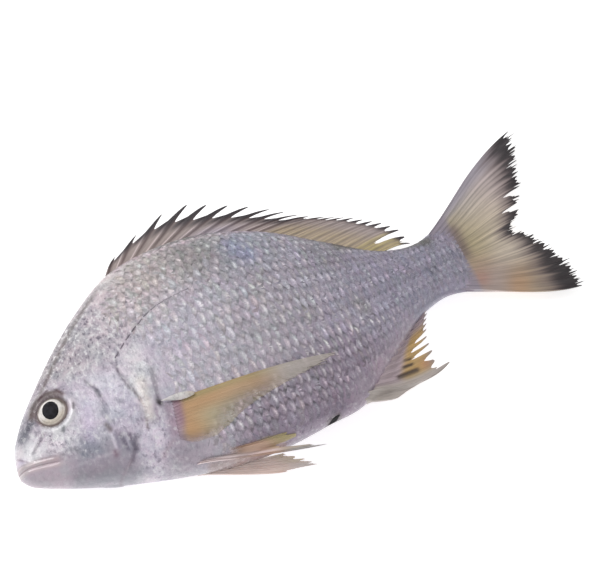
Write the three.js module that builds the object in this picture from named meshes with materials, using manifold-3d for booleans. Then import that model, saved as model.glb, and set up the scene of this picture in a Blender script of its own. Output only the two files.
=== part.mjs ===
// A whole raw sea bream, lying on its right flank with its left flank up.
// Units are millimetres. The snout points to -X, the tail to +X, the back to +Y and up is +Z.
// The fish is drawn with its snout near X = 0 and is centred on the table at the end.
import * as THREE from "three";
import { mergeVertices } from "three/addons/utils/BufferGeometryUtils.js";
import Module from "manifold-3d";

const wasm = await Module();
wasm.setup();

// Driving dimensions of the body
const SNOUT = -1.6;
const BODY_END = 252; // last scales on the tail root
const MID_HEIGHT = 20; // middle plane of the head above the table
const TAIL_DROOP = 11; // how far the middle plane sinks towards the tail tips
const DROOP_START = 150;
const DROOP_SPAN = 150;
const NOSE_RADIUS = 5;
const NOSE_LEVEL = -8;
const WIDEST_SHARE = 0.42; // height of the thickest point, as a share of the body depth
const BACK_POWER = 1.9; // roundness of a cross section above its thickest point
const BELLY_POWER = 2.2; // and below it
const RING_POINTS = 42;
const HEAD_END = 75;
const HEAD_STEP = 3.2;
const BODY_STEP = 7;

// Side outline and thickness as pairs of distance from the snout and value
const BACK = [
  [SNOUT, 1.5], [11, 17.5], [24, 30], [61, 58.8], [83, 70.3], [105, 73.5],
  [170, 55], [190, 40.5], [218, 22.6], [232, 20.4], [245, 24], [252, 27.5],
];
const BELLY = [
  [SNOUT, -12.5], [7, -17.6], [16, -22], [57, -38], [120, -51.2],
  [150, -50], [172, -47.6], [190, -36], [222, -14.8], [234, -12], [252, -15.8],
];
const HALF_THICKNESS = [
  [SNOUT, 5.5], [24, 13.5], [44, 18], [70, 22], [130, 21.5], [210, 8.5], [245, 3.2], [252, 1.3],
];

// Head: lines as pairs of height and distance from the snout
const GILL_EDGE = [[-34, 42], [-21, 58.5], [-8.4, 65.1], [-1.6, 66.6], [12.6, 64.3], [30, 61]];
const CHEEK_EDGE = [[-26, 43], [-9.7, 47.2], [3.6, 50.9], [15.6, 49.9]];
const GILL_STEP = 1.4;
const GILL_FADE = 20; // length over which the gill cover rises to its edge
const CHEEK_STEP = 0.7;
const CHEEK_FADE = 12;
const BROW_HEIGHT = 0.7;
const BROW_DISTANCE = 10.5; // from the middle of the eye
const BROW_WIDTH = 2.5;
const BONE_FADE = 4; // the bones fade out where the body is thinner than this

// Mouth: a slit between two lips, as pairs of distance from the snout and height
const MOUTH_LINE = [[-4, -7.2], [5.6, -8.4], [10, -9.7], [17.7, -12.2]];
const MOUTH_GAP = 0.9;
const LIP_RADIUS = 1.5;
const LIP_OFFSET = 1.5;
const LIP_CORNER = 17; // distance of the lips' corners from the snout
const LIP_FRONT = 0.5;
const LIP_SINK = 0.4;
const LIP_STEPS = 20;

// Eyes: flattened balls in open sockets
const EYE_PLACE = [26.3, 12.8];
const EYE_RADII = [8.7, 8.3, 4.5];
const EYE_SINK = 2.2;
const EYE_GAP = 0.3;
const SLOPE_STEP = 3; // distance over which the flank's slope at the eye is measured
const PUPIL_RADII = [4.1, 4.9];
const PUPIL_DEPTH = 2;
const NOSTRILS = [[12.6, 11.5, 0.8], [15.6, 13.2, 1.2]]; // distance, height and radius

// Fins
const DORSAL_SPINES = 11;
const DORSAL_RAYS = 11;
const CAUDAL_RAYS = 18;
const PECTORAL_RAYS = 10;
const ROOT_SINK = 3; // how deep the fins are rooted in the flesh
const TABLE_GAP = 0.3; // least height of the lower chest fin above the table

const smooth = (low, high, value) => THREE.MathUtils.smoothstep(value, low, high);
const lerp = THREE.MathUtils.lerp;

// A smooth curve through knots of position and value, with the slope at each knot weighed
// by the lengths of the stretches beside it.
function profile(knots) {
  const spans = knots.slice(1).map(([x], i) => x - knots[i][0]);
  const slopes = spans.map((span, i) => (knots[i + 1][1] - knots[i][1]) / span);
  const last = knots.length - 1;
  const tangents = knots.map((_, i) => {
    if (i === 0) return slopes[0];
    if (i === last) return slopes[last - 1];
    return (slopes[i - 1] * spans[i] + slopes[i] * spans[i - 1]) / (spans[i - 1] + spans[i]);
  });
  return (position) => {
    const x = THREE.MathUtils.clamp(position, knots[0][0], knots[last][0]);
    const i = Math.min(Math.max(knots.findIndex(([k]) => k > x) - 1, -1), last - 1);
    const k = i < 0 ? last - 1 : i;
    const t = (x - knots[k][0]) / spans[k];
    const t2 = t * t;
    const t3 = t2 * t;
    return (2 * t3 - 3 * t2 + 1) * knots[k][1] + (t3 - 2 * t2 + t) * spans[k] * tangents[k]
      + (3 * t2 - 2 * t3) * knots[k + 1][1] + (t3 - t2) * spans[k] * tangents[k + 1];
  };
}

const back = profile(BACK);
const belly = profile(BELLY);
const halfThickness = profile(HALF_THICKNESS);
const gillEdge = profile(GILL_EDGE);
const cheekEdge = profile(CHEEK_EDGE);
const mouthLine = profile(MOUTH_LINE);

// Height of the fish's middle plane above the table.
const midHeight = (x) => MID_HEIGHT - TAIL_DROOP * smooth(0, 1, (x - DROOP_START) / DROOP_SPAN);

// Cross section at a station: top and bottom of the outline, the thickest level and the half
// thickness. The snout closes to a point on a quarter circle.
function section(x) {
  const blunt = Math.sqrt(1 - (1 - THREE.MathUtils.clamp((x - SNOUT) / NOSE_RADIUS, 0, 1)) ** 2);
  const top = lerp(NOSE_LEVEL, back(x), blunt);
  const bottom = lerp(NOSE_LEVEL, belly(x), blunt);
  return { top, bottom, widest: lerp(bottom, top, WIDEST_SHARE), half: halfThickness(x) * blunt };
}

// Half thickness of the body at a point of its side view.
function halfAt(x, y) {
  const s = section(x);
  const up = y >= s.widest;
  const reach = up ? (y - s.widest) / (s.top - s.widest) : (s.widest - y) / (s.widest - s.bottom);
  const power = up ? BACK_POWER : BELLY_POWER;
  return s.half * (1 - Math.min(reach, 1) ** power) ** (1 / power);
}

// A plate that is thickest along its rear edge and thins out forwards.
function plate(x, edge, height, fade) {
  return height * (1 - smooth(-1, 1.6, x - edge)) * smooth(-fade, -2, x - edge);
}

// How far the bones of the head stand out of the smooth body.
function headRelief(x, y) {
  const gillSpan = smooth(-37, -28, y) * (1 - smooth(20, 30, y));
  const gill = plate(x, gillEdge(y), GILL_STEP, GILL_FADE) * gillSpan;
  const cheekSpan = smooth(-28, -20, y) * (1 - smooth(10, 18, y));
  const cheek = plate(x, cheekEdge(y), CHEEK_STEP, CHEEK_FADE) * cheekSpan;
  const fromEye = Math.hypot(x - EYE_PLACE[0], y - EYE_PLACE[1]);
  const brow = BROW_HEIGHT * Math.exp(-(((fromEye - BROW_DISTANCE) / BROW_WIDTH) ** 2));
  return gill + cheek + brow;
}

// A geometry from a list of points and triangles.
function geometryOf(points, faces) {
  const geometry = new THREE.BufferGeometry();
  geometry.setAttribute("position", new THREE.Float32BufferAttribute(points.flat(), 3));
  geometry.setIndex(faces.flat());
  return geometry;
}

// A closed mesh as a solid that can be joined or cut, without its collapsed triangles.
function solidOf(source) {
  const bare = source.clone();
  bare.deleteAttribute("normal");
  bare.deleteAttribute("uv");
  const merged = mergeVertices(bare, 1e-5);
  const index = merged.getIndex().array;
  const kept = [];
  for (let i = 0; i < index.length; i += 3) {
    const [a, b, c] = [index[i], index[i + 1], index[i + 2]];
    if (a !== b && b !== c && a !== c) kept.push(a, b, c);
  }
  const solid = (triangles) => new wasm.Manifold(new wasm.Mesh({
    numProp: 3,
    vertProperties: new Float32Array(merged.getAttribute("position").array),
    triVerts: new Uint32Array(triangles),
  }));
  const made = solid(kept);
  if (made.volume() > 0) return made;
  const turned = [];
  for (let i = 0; i < kept.length; i += 3) turned.push(kept[i], kept[i + 2], kept[i + 1]);
  return solid(turned);
}

// A solid back as a geometry.
function geometryFrom(solid) {
  const mesh = solid.getMesh();
  const geometry = new THREE.BufferGeometry();
  geometry.setAttribute("position", new THREE.BufferAttribute(new Float32Array(mesh.vertProperties), 3));
  geometry.setIndex(new THREE.BufferAttribute(new Uint32Array(mesh.triVerts), 1));
  geometry.computeVertexNormals();
  return geometry;
}

// A closed sheet between an upper and a lower grid of points with the same rows and columns.
function sheetSolid(upper, lower) {
  const rows = upper.length;
  const columns = upper[0].length;
  const points = [...upper.flat(), ...lower.flat()];
  const up = (r, c) => r * columns + c;
  const down = (r, c) => rows * columns + r * columns + c;
  const faces = [];
  const quad = (a, b, c, d) => faces.push([a, b, c], [a, c, d]);
  for (let r = 0; r < rows - 1; r += 1) {
    for (let c = 0; c < columns - 1; c += 1) {
      quad(up(r, c), up(r, c + 1), up(r + 1, c + 1), up(r + 1, c));
      quad(down(r, c), down(r + 1, c), down(r + 1, c + 1), down(r, c + 1));
    }
    quad(up(r + 1, 0), down(r + 1, 0), down(r, 0), up(r, 0));
    quad(up(r, columns - 1), down(r, columns - 1), down(r + 1, columns - 1), up(r + 1, columns - 1));
  }
  for (let c = 0; c < columns - 1; c += 1) {
    quad(up(0, c), down(0, c), down(0, c + 1), up(0, c + 1));
    quad(up(rows - 1, c + 1), down(rows - 1, c + 1), down(rows - 1, c), up(rows - 1, c));
  }
  return solidOf(geometryOf(points, faces));
}

// Stations along the body: close together on the blunt snout and the head, wider behind.
function bodyStations() {
  const stations = [];
  const bluntEnd = SNOUT + NOSE_RADIUS;
  for (let i = 1; i <= 4; i += 1) stations.push(bluntEnd - NOSE_RADIUS * Math.cos((i * Math.PI) / 8));
  const headSteps = Math.round((HEAD_END - bluntEnd) / HEAD_STEP);
  for (let i = 1; i <= headSteps; i += 1) stations.push(lerp(bluntEnd, HEAD_END, i / headSteps));
  const bodySteps = Math.round((BODY_END - HEAD_END) / BODY_STEP);
  for (let i = 1; i <= bodySteps; i += 1) stations.push(lerp(HEAD_END, BODY_END, i / bodySteps));
  return stations;
}

// One point of the body's skin, by station and by angle round the section from the back.
function skinPoint(x, angle) {
  const s = section(x);
  const upDown = Math.cos(angle);
  const side = Math.sign(Math.round(Math.sin(angle) * 1e6));
  const power = upDown >= 0 ? BACK_POWER : BELLY_POWER;
  const reach = Math.abs(upDown) ** (2 / power);
  const y = upDown >= 0 ? lerp(s.widest, s.top, reach) : lerp(s.widest, s.bottom, reach);
  const out = s.half * Math.abs(Math.sin(angle)) ** (2 / power);
  const bone = side === 0 ? 0 : headRelief(x, y) * Math.min(1, out / BONE_FADE);
  return [x, y, Math.max(0, midHeight(x) + side * (out + bone))];
}

// The body: rings of skin points, closed by one point at the snout and one at the tail root.
// Where the right flank meets the table it is pressed flat.
function bodySolid() {
  const stations = bodyStations();
  const points = [[SNOUT, NOSE_LEVEL, midHeight(SNOUT)]];
  for (const x of stations) {
    for (let j = 0; j < RING_POINTS; j += 1) points.push(skinPoint(x, (2 * Math.PI * j) / RING_POINTS));
  }
  points.push([BODY_END + 1, section(BODY_END).widest, midHeight(BODY_END)]);
  const at = (i, j) => 1 + i * RING_POINTS + (j % RING_POINTS);
  const faces = [];
  const end = stations.length - 1;
  for (let j = 0; j < RING_POINTS; j += 1) {
    faces.push([0, at(0, j), at(0, j + 1)], [points.length - 1, at(end, j + 1), at(end, j)]);
    for (let i = 0; i < end; i += 1) {
      faces.push([at(i, j), at(i + 1, j), at(i + 1, j + 1)], [at(i, j), at(i + 1, j + 1), at(i, j + 1)]);
    }
  }
  return solidOf(geometryOf(points, faces));
}

// A fan of fin rays joined by web. Each ray has a root and a tip in the side view, a bow
// sideways from the straight line, most of it two thirds of the way out, and a thickness
// factor. The web between two rays ends at webReach of their length, so the edge is toothed.
// level gives the upper and lower face.
function finSolid(rays, { rows, webReach, rootHalf, tipHalf, webShare = 0.55, level }) {
  const columns = [];
  rays.forEach((ray, i) => {
    columns.push({ ...ray, reach: 1, thick: ray.thick ?? 1 });
    const next = rays[i + 1];
    if (!next) return;
    const middle = (key) => ray[key].map((value, k) => (value + next[key][k]) / 2);
    columns.push({
      root: middle("root"),
      tip: middle("tip"),
      bow: ((ray.bow ?? 0) + (next.bow ?? 0)) / 2,
      reach: ray.webReach ?? webReach,
      thick: webShare,
    });
  });
  const grid = (side) => Array.from({ length: rows + 1 }, (_, r) => columns.map((column) => {
    const t = (r / rows) * column.reach;
    const [dx, dy] = [column.tip[0] - column.root[0], column.tip[1] - column.root[1]];
    const length = Math.hypot(dx, dy);
    const bow = ((column.bow ?? 0) * 6.75 * t * t * (1 - t)) / length;
    const x = lerp(column.root[0], column.tip[0], t) - dy * bow;
    const y = lerp(column.root[1], column.tip[1], t) + dx * bow;
    const half = lerp(rootHalf, tipHalf, t) * column.thick;
    return [x, y, level(x, y, t, half, side, column)];
  }));
  return sheetSolid(grid(1), grid(-1));
}

// Level of a fin that stands in the fish's middle plane, with a slight wave along it.
function middleLevel(wave, waveLength) {
  return (x, y, t, half, side) => {
    const sway = wave * t * Math.sin((2 * Math.PI * (x + y)) / waveLength);
    return midHeight(x) + sway + side * half;
  };
}

// Points spread evenly along a polyline of knots, by share of its length.
function along(knots, share) {
  const points = knots.map(([x, y]) => new THREE.Vector2(x, y));
  const curve = new THREE.CurvePath();
  points.slice(1).forEach((point, i) => curve.add(new THREE.LineCurve(points[i], point)));
  const { x, y } = curve.getPointAt(share);
  return [x, y];
}

// Back fin: folded back spines with black tips in front, soft rays behind.
const DORSAL_START = 81;
const SPINE_PITCH = 7.6;
const SOFT_PITCH = 4.9;
const SPLIT_RAY = 8; // the web is torn open behind this soft ray
const SPINE_CROWDING = 1.42; // the tips stand closer together towards the rear
const SPINE_TIPS = [[93.6, 78.2], [107.8, 84.6], [124.4, 89], [139, 87.6], [165, 74], [190, 56]];
const SOFT_TIPS = [[197.5, 52.4], [210, 46.6], [222.5, 37.8], [228.5, 31.5], [230.5, 21.8]];

function dorsalFin() {
  const rays = [];
  for (let i = 0; i < DORSAL_SPINES; i += 1) {
    const x = DORSAL_START + SPINE_PITCH * i;
    rays.push({
      root: [x - 1, back(x) - ROOT_SINK],
      tip: along(SPINE_TIPS, 1 - (1 - i / (DORSAL_SPINES - 1)) ** SPINE_CROWDING),
      bow: 1,
    });
  }
  const softStart = DORSAL_START + SPINE_PITCH * (DORSAL_SPINES - 1) + SOFT_PITCH;
  for (let i = 0; i < DORSAL_RAYS; i += 1) {
    const x = softStart + SOFT_PITCH * i;
    rays.push({
      root: [x - 1, back(x) - ROOT_SINK],
      tip: along(SOFT_TIPS, i / (DORSAL_RAYS - 1)),
      bow: 1,
      thick: 0.8,
      webReach: i === SPLIT_RAY ? 0.45 : undefined,
    });
  }
  return finSolid(rays, {
    rows: 5, webReach: 0.8, rootHalf: 1.3, tipHalf: 0.45, level: middleLevel(1.2, 60),
  });
}

// Tail fin: rays fan out from the tail root to a forked edge with a long upper lobe.
const CAUDAL_ROOT_X = 246;
const CAUDAL_ROOT_TOP = 22;
const CAUDAL_ROOT_BOTTOM = -11.5;
const CAUDAL_FORK = [278, 8.3];
const UPPER_LOBE_EDGE = [[302.6, 56], [300.4, 44], [293.6, 27], [286.6, 13], CAUDAL_FORK];
const LOWER_LOBE_EDGE = [CAUDAL_FORK, [285.6, 3], [293.8, -9.4], [298.8, -23.5], [299, -34.6]];
const FORK_SHARE = 0.5;

function caudalFin() {
  const rays = Array.from({ length: CAUDAL_RAYS }, (_, i) => {
    const share = i / (CAUDAL_RAYS - 1);
    const tip = share < FORK_SHARE
      ? along(UPPER_LOBE_EDGE, share / FORK_SHARE)
      : along(LOWER_LOBE_EDGE, (share - FORK_SHARE) / (1 - FORK_SHARE));
    const edge = 2 * Math.abs(share - 0.5);
    return {
      root: [CAUDAL_ROOT_X - 5 * edge, lerp(CAUDAL_ROOT_TOP, CAUDAL_ROOT_BOTTOM, share)],
      tip,
      bow: lerp(3.4, -2.4, share),
      thick: lerp(0.8, 1.2, edge),
    };
  });
  return finSolid(rays, {
    rows: 6, webReach: 0.975, rootHalf: 1.7, tipHalf: 0.4, level: middleLevel(1.4, 70),
  });
}

// Anal fin: a short spine, one long thick spine and soft rays, folded back along the belly.
const ANAL_START = 168;
const ANAL_PITCH = 4.2;
const ANAL_TIPS = [
  [187, -51.8], [219.6, -45], [212.6, -40.9], [214.4, -35.6], [214.8, -31.3], [215.4, -27.4],
  [217, -23.8], [218.3, -21.1], [219.6, -18.6], [221, -16.4], [221.9, -14.5],
];

function analFin() {
  const rays = ANAL_TIPS.map((tip, i) => {
    const x = ANAL_START + ANAL_PITCH * i;
    return { root: [x - 1, belly(x) + ROOT_SINK], tip, bow: -0.6, thick: i < 3 ? 1.3 : 0.75 };
  });
  rays[1].thick = 2;
  rays[1].bow = -4;
  return finSolid(rays, {
    rows: 4, webReach: 0.8, rootHalf: 1.3, tipHalf: 0.5, level: middleLevel(0.6, 50),
  });
}

// Chest fins: long blades that lie back on the flanks. Each one is relief on the skin, with
// its lower face sunk in, and the one below is pressed between the flank and the table.
const PECTORAL_ROOT_TOP = [75, -10.5];
const PECTORAL_ROOT_BOTTOM = [73.5, -29.5];
const PECTORAL_TIPS = [[166.8, -22.2], [160, -25.6], [140, -27.2], [118, -29.8], [98, -31.8], [86.6, -32.6]];
const PECTORAL_LIFT = 1.5;
const PECTORAL_TIP_LIFT = 0.9;
const PECTORAL_BED = 0.7;

function pectoralFin(flank) {
  const rays = Array.from({ length: PECTORAL_RAYS }, (_, i) => {
    const share = i / (PECTORAL_RAYS - 1);
    const root = PECTORAL_ROOT_TOP.map((value, k) => lerp(value, PECTORAL_ROOT_BOTTOM[k], share));
    return { root, tip: along(PECTORAL_TIPS, share ** 1.25), bow: lerp(1.2, -0.6, share) };
  });
  const level = (x, y, t, half, side, column) => {
    const skin = halfAt(x, y);
    const lift = lerp(PECTORAL_LIFT, PECTORAL_TIP_LIFT, t) * lerp(0.75, 1, Math.min(1, column.thick));
    const out = side * flank > 0 ? skin + lift : skin - PECTORAL_BED;
    return Math.max(TABLE_GAP, midHeight(x) + flank * out);
  };
  return finSolid(rays, { rows: 7, webReach: 0.985, rootHalf: 1, tipHalf: 1, level });
}

// Belly fins: a spine and five soft rays each, trailing back beside the belly.
const LEFT_PELVIC_TIPS = [[120, -53.6], [142.3, -63], [136, -58.6], [133, -55.4], [130.5, -52.6], [127, -50]];
const RIGHT_PELVIC_TIPS = [[119, -61.4], [136, -64.8], [134, -62.4], [131.4, -59.4], [127.4, -56], [123, -52]];
const PELVIC_ROOT_START = 79;
const PELVIC_ROOT_SPAN = 9;
const PELVIC_ROOT_LEVEL = -41.5;
const PELVIC_SPREAD = 6.5; // distance of each belly fin from the middle plane

function pelvicFin(flank, tips) {
  const rays = tips.map((tip, i) => ({
    root: [PELVIC_ROOT_START + (PELVIC_ROOT_SPAN * i) / (tips.length - 1), PELVIC_ROOT_LEVEL],
    tip,
    bow: i === 0 ? -0.5 : -1.2,
    thick: i === 0 ? 1.5 : 0.9,
  }));
  const level = (x, y, t, half, side) => {
    const beside = Math.max(PELVIC_SPREAD - 1.5 * t, (halfAt(x, y) + 1) * smooth(0.15, 0.6, t));
    return midHeight(x) + flank * beside + side * half;
  };
  return finSolid(rays, { rows: 5, webReach: 0.93, rootHalf: 1.3, tipHalf: 0.45, level });
}

// Lip: a round bead that follows the skin above (+1) or below (-1) the mouth, from one
// corner round the snout to the other.
function lipSolid(edge) {
  const shares = [1, 0.62, 0.3, 0.1];
  const bead = (share, flank) => {
    const x = LIP_CORNER * share;
    const y = mouthLine(x) + edge * LIP_OFFSET * lerp(1, 0.6, share);
    return new THREE.Vector3(x, y, midHeight(x) + flank * (halfAt(x, y) - LIP_SINK));
  };
  const front = new THREE.Vector3(LIP_FRONT, mouthLine(0) + edge * LIP_OFFSET, midHeight(0));
  const path = new THREE.CatmullRomCurve3([
    ...shares.map((share) => bead(share, 1)), front, ...shares.map((share) => bead(share, -1)).reverse(),
  ]);
  const ring = new THREE.Shape().absarc(0, 0, LIP_RADIUS, 0, 2 * Math.PI);
  return solidOf(new THREE.ExtrudeGeometry(ring, { steps: LIP_STEPS, curveSegments: 4, extrudePath: path }));
}

// Mouth: a thin curved blade, cut through the snout from flank to flank.
function mouthCut() {
  const width = 60;
  const steps = 8;
  const ends = MOUTH_LINE[MOUTH_LINE.length - 1][0];
  const row = (edge) => Array.from({ length: steps + 1 }, (_, i) => {
    const x = lerp(MOUTH_LINE[0][0], ends, i / steps);
    return [x, mouthLine(x) + (edge * MOUTH_GAP * lerp(1, 0.4, i / steps)) / 2];
  });
  const [upper, lower] = [row(1), row(-1)];
  const wall = (z) => [upper, lower].map((line) => line.map(([x, y]) => [x, y, MID_HEIGHT + z]));
  return sheetSolid(wall(width / 2), wall(-width / 2));
}

// The direction in which the flank faces at a point of the side view.
function flankNormal(x, y, flank) {
  const d = SLOPE_STEP;
  const slopeX = (halfAt(x + d, y) - halfAt(x - d, y)) / (2 * d);
  const slopeY = (halfAt(x, y + d) - halfAt(x, y - d)) / (2 * d);
  return new THREE.Vector3(-slopeX, -slopeY, flank).normalize();
}

// Placement of an eye: its axis along the flank's normal and its centre sunk in the head.
function eyeFrame(flank) {
  const [x, y] = EYE_PLACE;
  const normal = flankNormal(x, y, flank);
  const centre = new THREE.Vector3(x, y, midHeight(x) + flank * halfAt(x, y));
  centre.addScaledVector(normal, -EYE_SINK);
  const turn = new THREE.Quaternion().setFromUnitVectors(new THREE.Vector3(0, 0, 1), normal);
  return new THREE.Matrix4().compose(centre, turn, new THREE.Vector3(1, 1, 1));
}

// An eyeball, grown by a margin for its socket.
function eyeball(flank, margin) {
  const ball = new THREE.SphereGeometry(1, 20, 12);
  ball.scale(EYE_RADII[0] + margin, EYE_RADII[1] + margin, EYE_RADII[2] + margin);
  return solidOf(ball.applyMatrix4(eyeFrame(flank)));
}

// The core of the pupil, an oval rod along the eye's axis, grown by a margin for its recess.
function pupilRod(flank, margin) {
  const rod = new THREE.CylinderGeometry(1, 1, EYE_RADII[2], 24);
  rod.rotateX(Math.PI / 2);
  rod.scale(PUPIL_RADII[0] + margin, PUPIL_RADII[1] + margin, 1);
  rod.translate(0, 0, EYE_RADII[2] / 2 + PUPIL_DEPTH - margin);
  return solidOf(rod.applyMatrix4(eyeFrame(flank)));
}

// A pair of nostrils on one flank: small pits in front of the eye.
function nostrilCuts(flank) {
  return NOSTRILS.map(([x, y, radius]) => {
    const pit = new THREE.SphereGeometry(radius, 10, 8);
    pit.scale(1, 1.3, 1.4);
    pit.translate(x, y, midHeight(x) + flank * halfAt(x, y));
    return solidOf(pit);
  });
}

function fishSolid() {
  let fish = bodySolid();
  const joined = [
    dorsalFin(), caudalFin(), analFin(), pectoralFin(1), pectoralFin(-1),
    pelvicFin(1, LEFT_PELVIC_TIPS), pelvicFin(-1, RIGHT_PELVIC_TIPS), lipSolid(1), lipSolid(-1),
  ];
  for (const piece of joined) fish = fish.add(piece);
  const cut = [
    mouthCut(), eyeball(1, EYE_GAP), eyeball(-1, EYE_GAP), ...nostrilCuts(1), ...nostrilCuts(-1),
  ];
  for (const piece of cut) fish = fish.subtract(piece);
  return fish;
}

function namedMesh(name, solid, colour, roughness) {
  const material = new THREE.MeshStandardMaterial({ color: colour, roughness, metalness: 0 });
  const mesh = new THREE.Mesh(geometryFrom(solid), material);
  mesh.name = name;
  return mesh;
}

const group = new THREE.Group();
group.add(namedMesh("fish", fishSolid(), 0xb4aeb8, 0.35));
for (const [side, flank] of [["left", 1], ["right", -1]]) {
  const iris = eyeball(flank, 0).subtract(pupilRod(flank, EYE_GAP));
  const pupil = eyeball(flank, 0).intersect(pupilRod(flank, 0));
  group.add(namedMesh(`eye_${side}`, iris, 0xe8e2d2, 0.2));
  group.add(namedMesh(`pupil_${side}`, pupil, 0x14141a, 0.08));
}

// The origin is on the table, under the middle of the fish's box.
const box = new THREE.Box3().setFromObject(group);
const middle = box.getCenter(new THREE.Vector3());
group.position.set(-middle.x, -middle.y, -box.min.z);

export default group;
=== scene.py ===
import logging
import math
from dataclasses import dataclass
from enum import Enum

import bpy
import numpy as np
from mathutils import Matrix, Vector


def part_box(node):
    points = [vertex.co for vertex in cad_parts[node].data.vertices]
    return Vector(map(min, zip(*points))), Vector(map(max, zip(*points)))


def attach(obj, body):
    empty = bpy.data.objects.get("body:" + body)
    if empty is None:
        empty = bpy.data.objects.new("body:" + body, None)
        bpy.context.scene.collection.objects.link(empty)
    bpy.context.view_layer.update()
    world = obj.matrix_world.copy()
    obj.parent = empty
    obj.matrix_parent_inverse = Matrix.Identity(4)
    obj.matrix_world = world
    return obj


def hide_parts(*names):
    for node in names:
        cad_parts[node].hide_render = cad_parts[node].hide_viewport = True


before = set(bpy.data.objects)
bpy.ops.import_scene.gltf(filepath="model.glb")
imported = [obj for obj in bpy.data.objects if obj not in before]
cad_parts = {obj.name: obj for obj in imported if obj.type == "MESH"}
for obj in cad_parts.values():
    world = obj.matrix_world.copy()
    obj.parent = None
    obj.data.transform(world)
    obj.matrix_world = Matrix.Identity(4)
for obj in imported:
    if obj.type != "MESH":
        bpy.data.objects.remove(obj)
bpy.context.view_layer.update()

Array = np.ndarray
Knots = tuple[tuple[float, float], ...]
Colour = tuple[int, int, int]
Tint = tuple[float, float, float, float]

MM = 0.001
BODY = "root"
TAIL_TIP_X = 302.6  # highest x of the fish, measured from its snout
PELVIC_TIP_Y = -64.8  # lowest y of the fish
EYE_PLACE = (26.3, 12.8)
SEED = 41
PORE_DRAWS, STREAK_DRAWS, FRINGE_DRAWS = 3, 5, 9  # added to the seed, so that each has its own draws

log = logging.getLogger("bream")


class Flank(Enum):
    """The fish's two sides: the left one is up."""

    LEFT = 1
    RIGHT = -1


class Slot(Enum):
    """Material slots of the record."""

    SKIN = "skin"
    FIN = "fin"
    EYE = "eye"
    PUPIL = "pupil"


def smooth(low: float, high: float, value: Array) -> Array:
    """Smooth step from 0 at low to 1 at high: t squared times (3 - 2t)."""
    t = np.clip((np.asarray(value, float) - low) / (high - low), 0.0, 1.0)
    return t * t * (3.0 - 2.0 * t)


def bell(distance: Array, width: float) -> Array:
    """A bell curve: 1 at distance 0, falling to 1/e at the width."""
    return np.exp(-((np.asarray(distance, float) / width) ** 2))


def mix(first: Array, second: Array, share: Array) -> Array:
    """Blends two colour fields by a share from 0 to 1.

    Args:
        first: colours, last axis red, green, blue.
        second: colours of the same form.
        share: how much of the second, one number for each colour.

    Returns:
        The blended colours.
    """
    weight = np.asarray(share, float)[..., None]
    return np.asarray(first, float) * (1.0 - weight) + np.asarray(second, float) * weight


def linear(colour: Array) -> Array:
    """Screen colours from 0 to 255 as linear light: the sRGB curve undone."""
    c = np.clip(np.asarray(colour, float) / 255.0, 0.0, 1.0)
    return np.where(c <= 0.04045, c / 12.92, ((c + 0.055) / 1.055) ** 2.4)


def draws(number: int) -> np.random.Generator:
    """A random source for one use, which gives the same draws at every run."""
    return np.random.default_rng(SEED + number)


def plain(tone: Colour, like: Array) -> Array:
    """One screen colour for each value of an array."""
    return np.broadcast_to(np.array(tone, float), like.shape + (3,))


def unit(vectors: Array) -> Array:
    """Vectors scaled to length 1."""
    return vectors / np.maximum(np.linalg.norm(vectors, axis=-1, keepdims=True), 1e-12)


@dataclass(frozen=True)
class Profile:
    """A smooth curve through pairs of position and value."""

    knots: Knots

    def __call__(self, position: Array) -> Array:
        """Values at positions, by cubic Hermite pieces.

        The slope at a knot weighs the slopes of both stretches by each other's length.

        Args:
            position: where the curve is read; past the ends it stays at the end values.

        Returns:
            The curve's values.
        """
        table = np.asarray(self.knots, float)
        x, value = table[:, 0], table[:, 1]
        span = np.diff(x)
        slope = np.diff(value) / span
        tangent = np.empty_like(value)
        tangent[1:-1] = (slope[:-1] * span[1:] + slope[1:] * span[:-1]) / (span[:-1] + span[1:])
        tangent[0], tangent[-1] = slope[0], slope[-1]
        at = np.clip(np.asarray(position, float), x[0], x[-1])
        k = np.clip(np.searchsorted(x, at, side="right") - 1, 0, len(span) - 1)
        t = (at - x[k]) / span[k]
        t2, t3 = t * t, t * t * t
        start = (2 * t3 - 3 * t2 + 1) * value[k] + (t3 - 2 * t2 + t) * span[k] * tangent[k]
        return start + (3 * t2 - 2 * t3) * value[k + 1] + (t3 - t2) * span[k] * tangent[k + 1]


@dataclass(frozen=True)
class Section:
    """A cross section: top and bottom of the outline, thickest level and half thickness."""

    top: Array
    bottom: Array
    widest: Array
    half: Array


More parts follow.
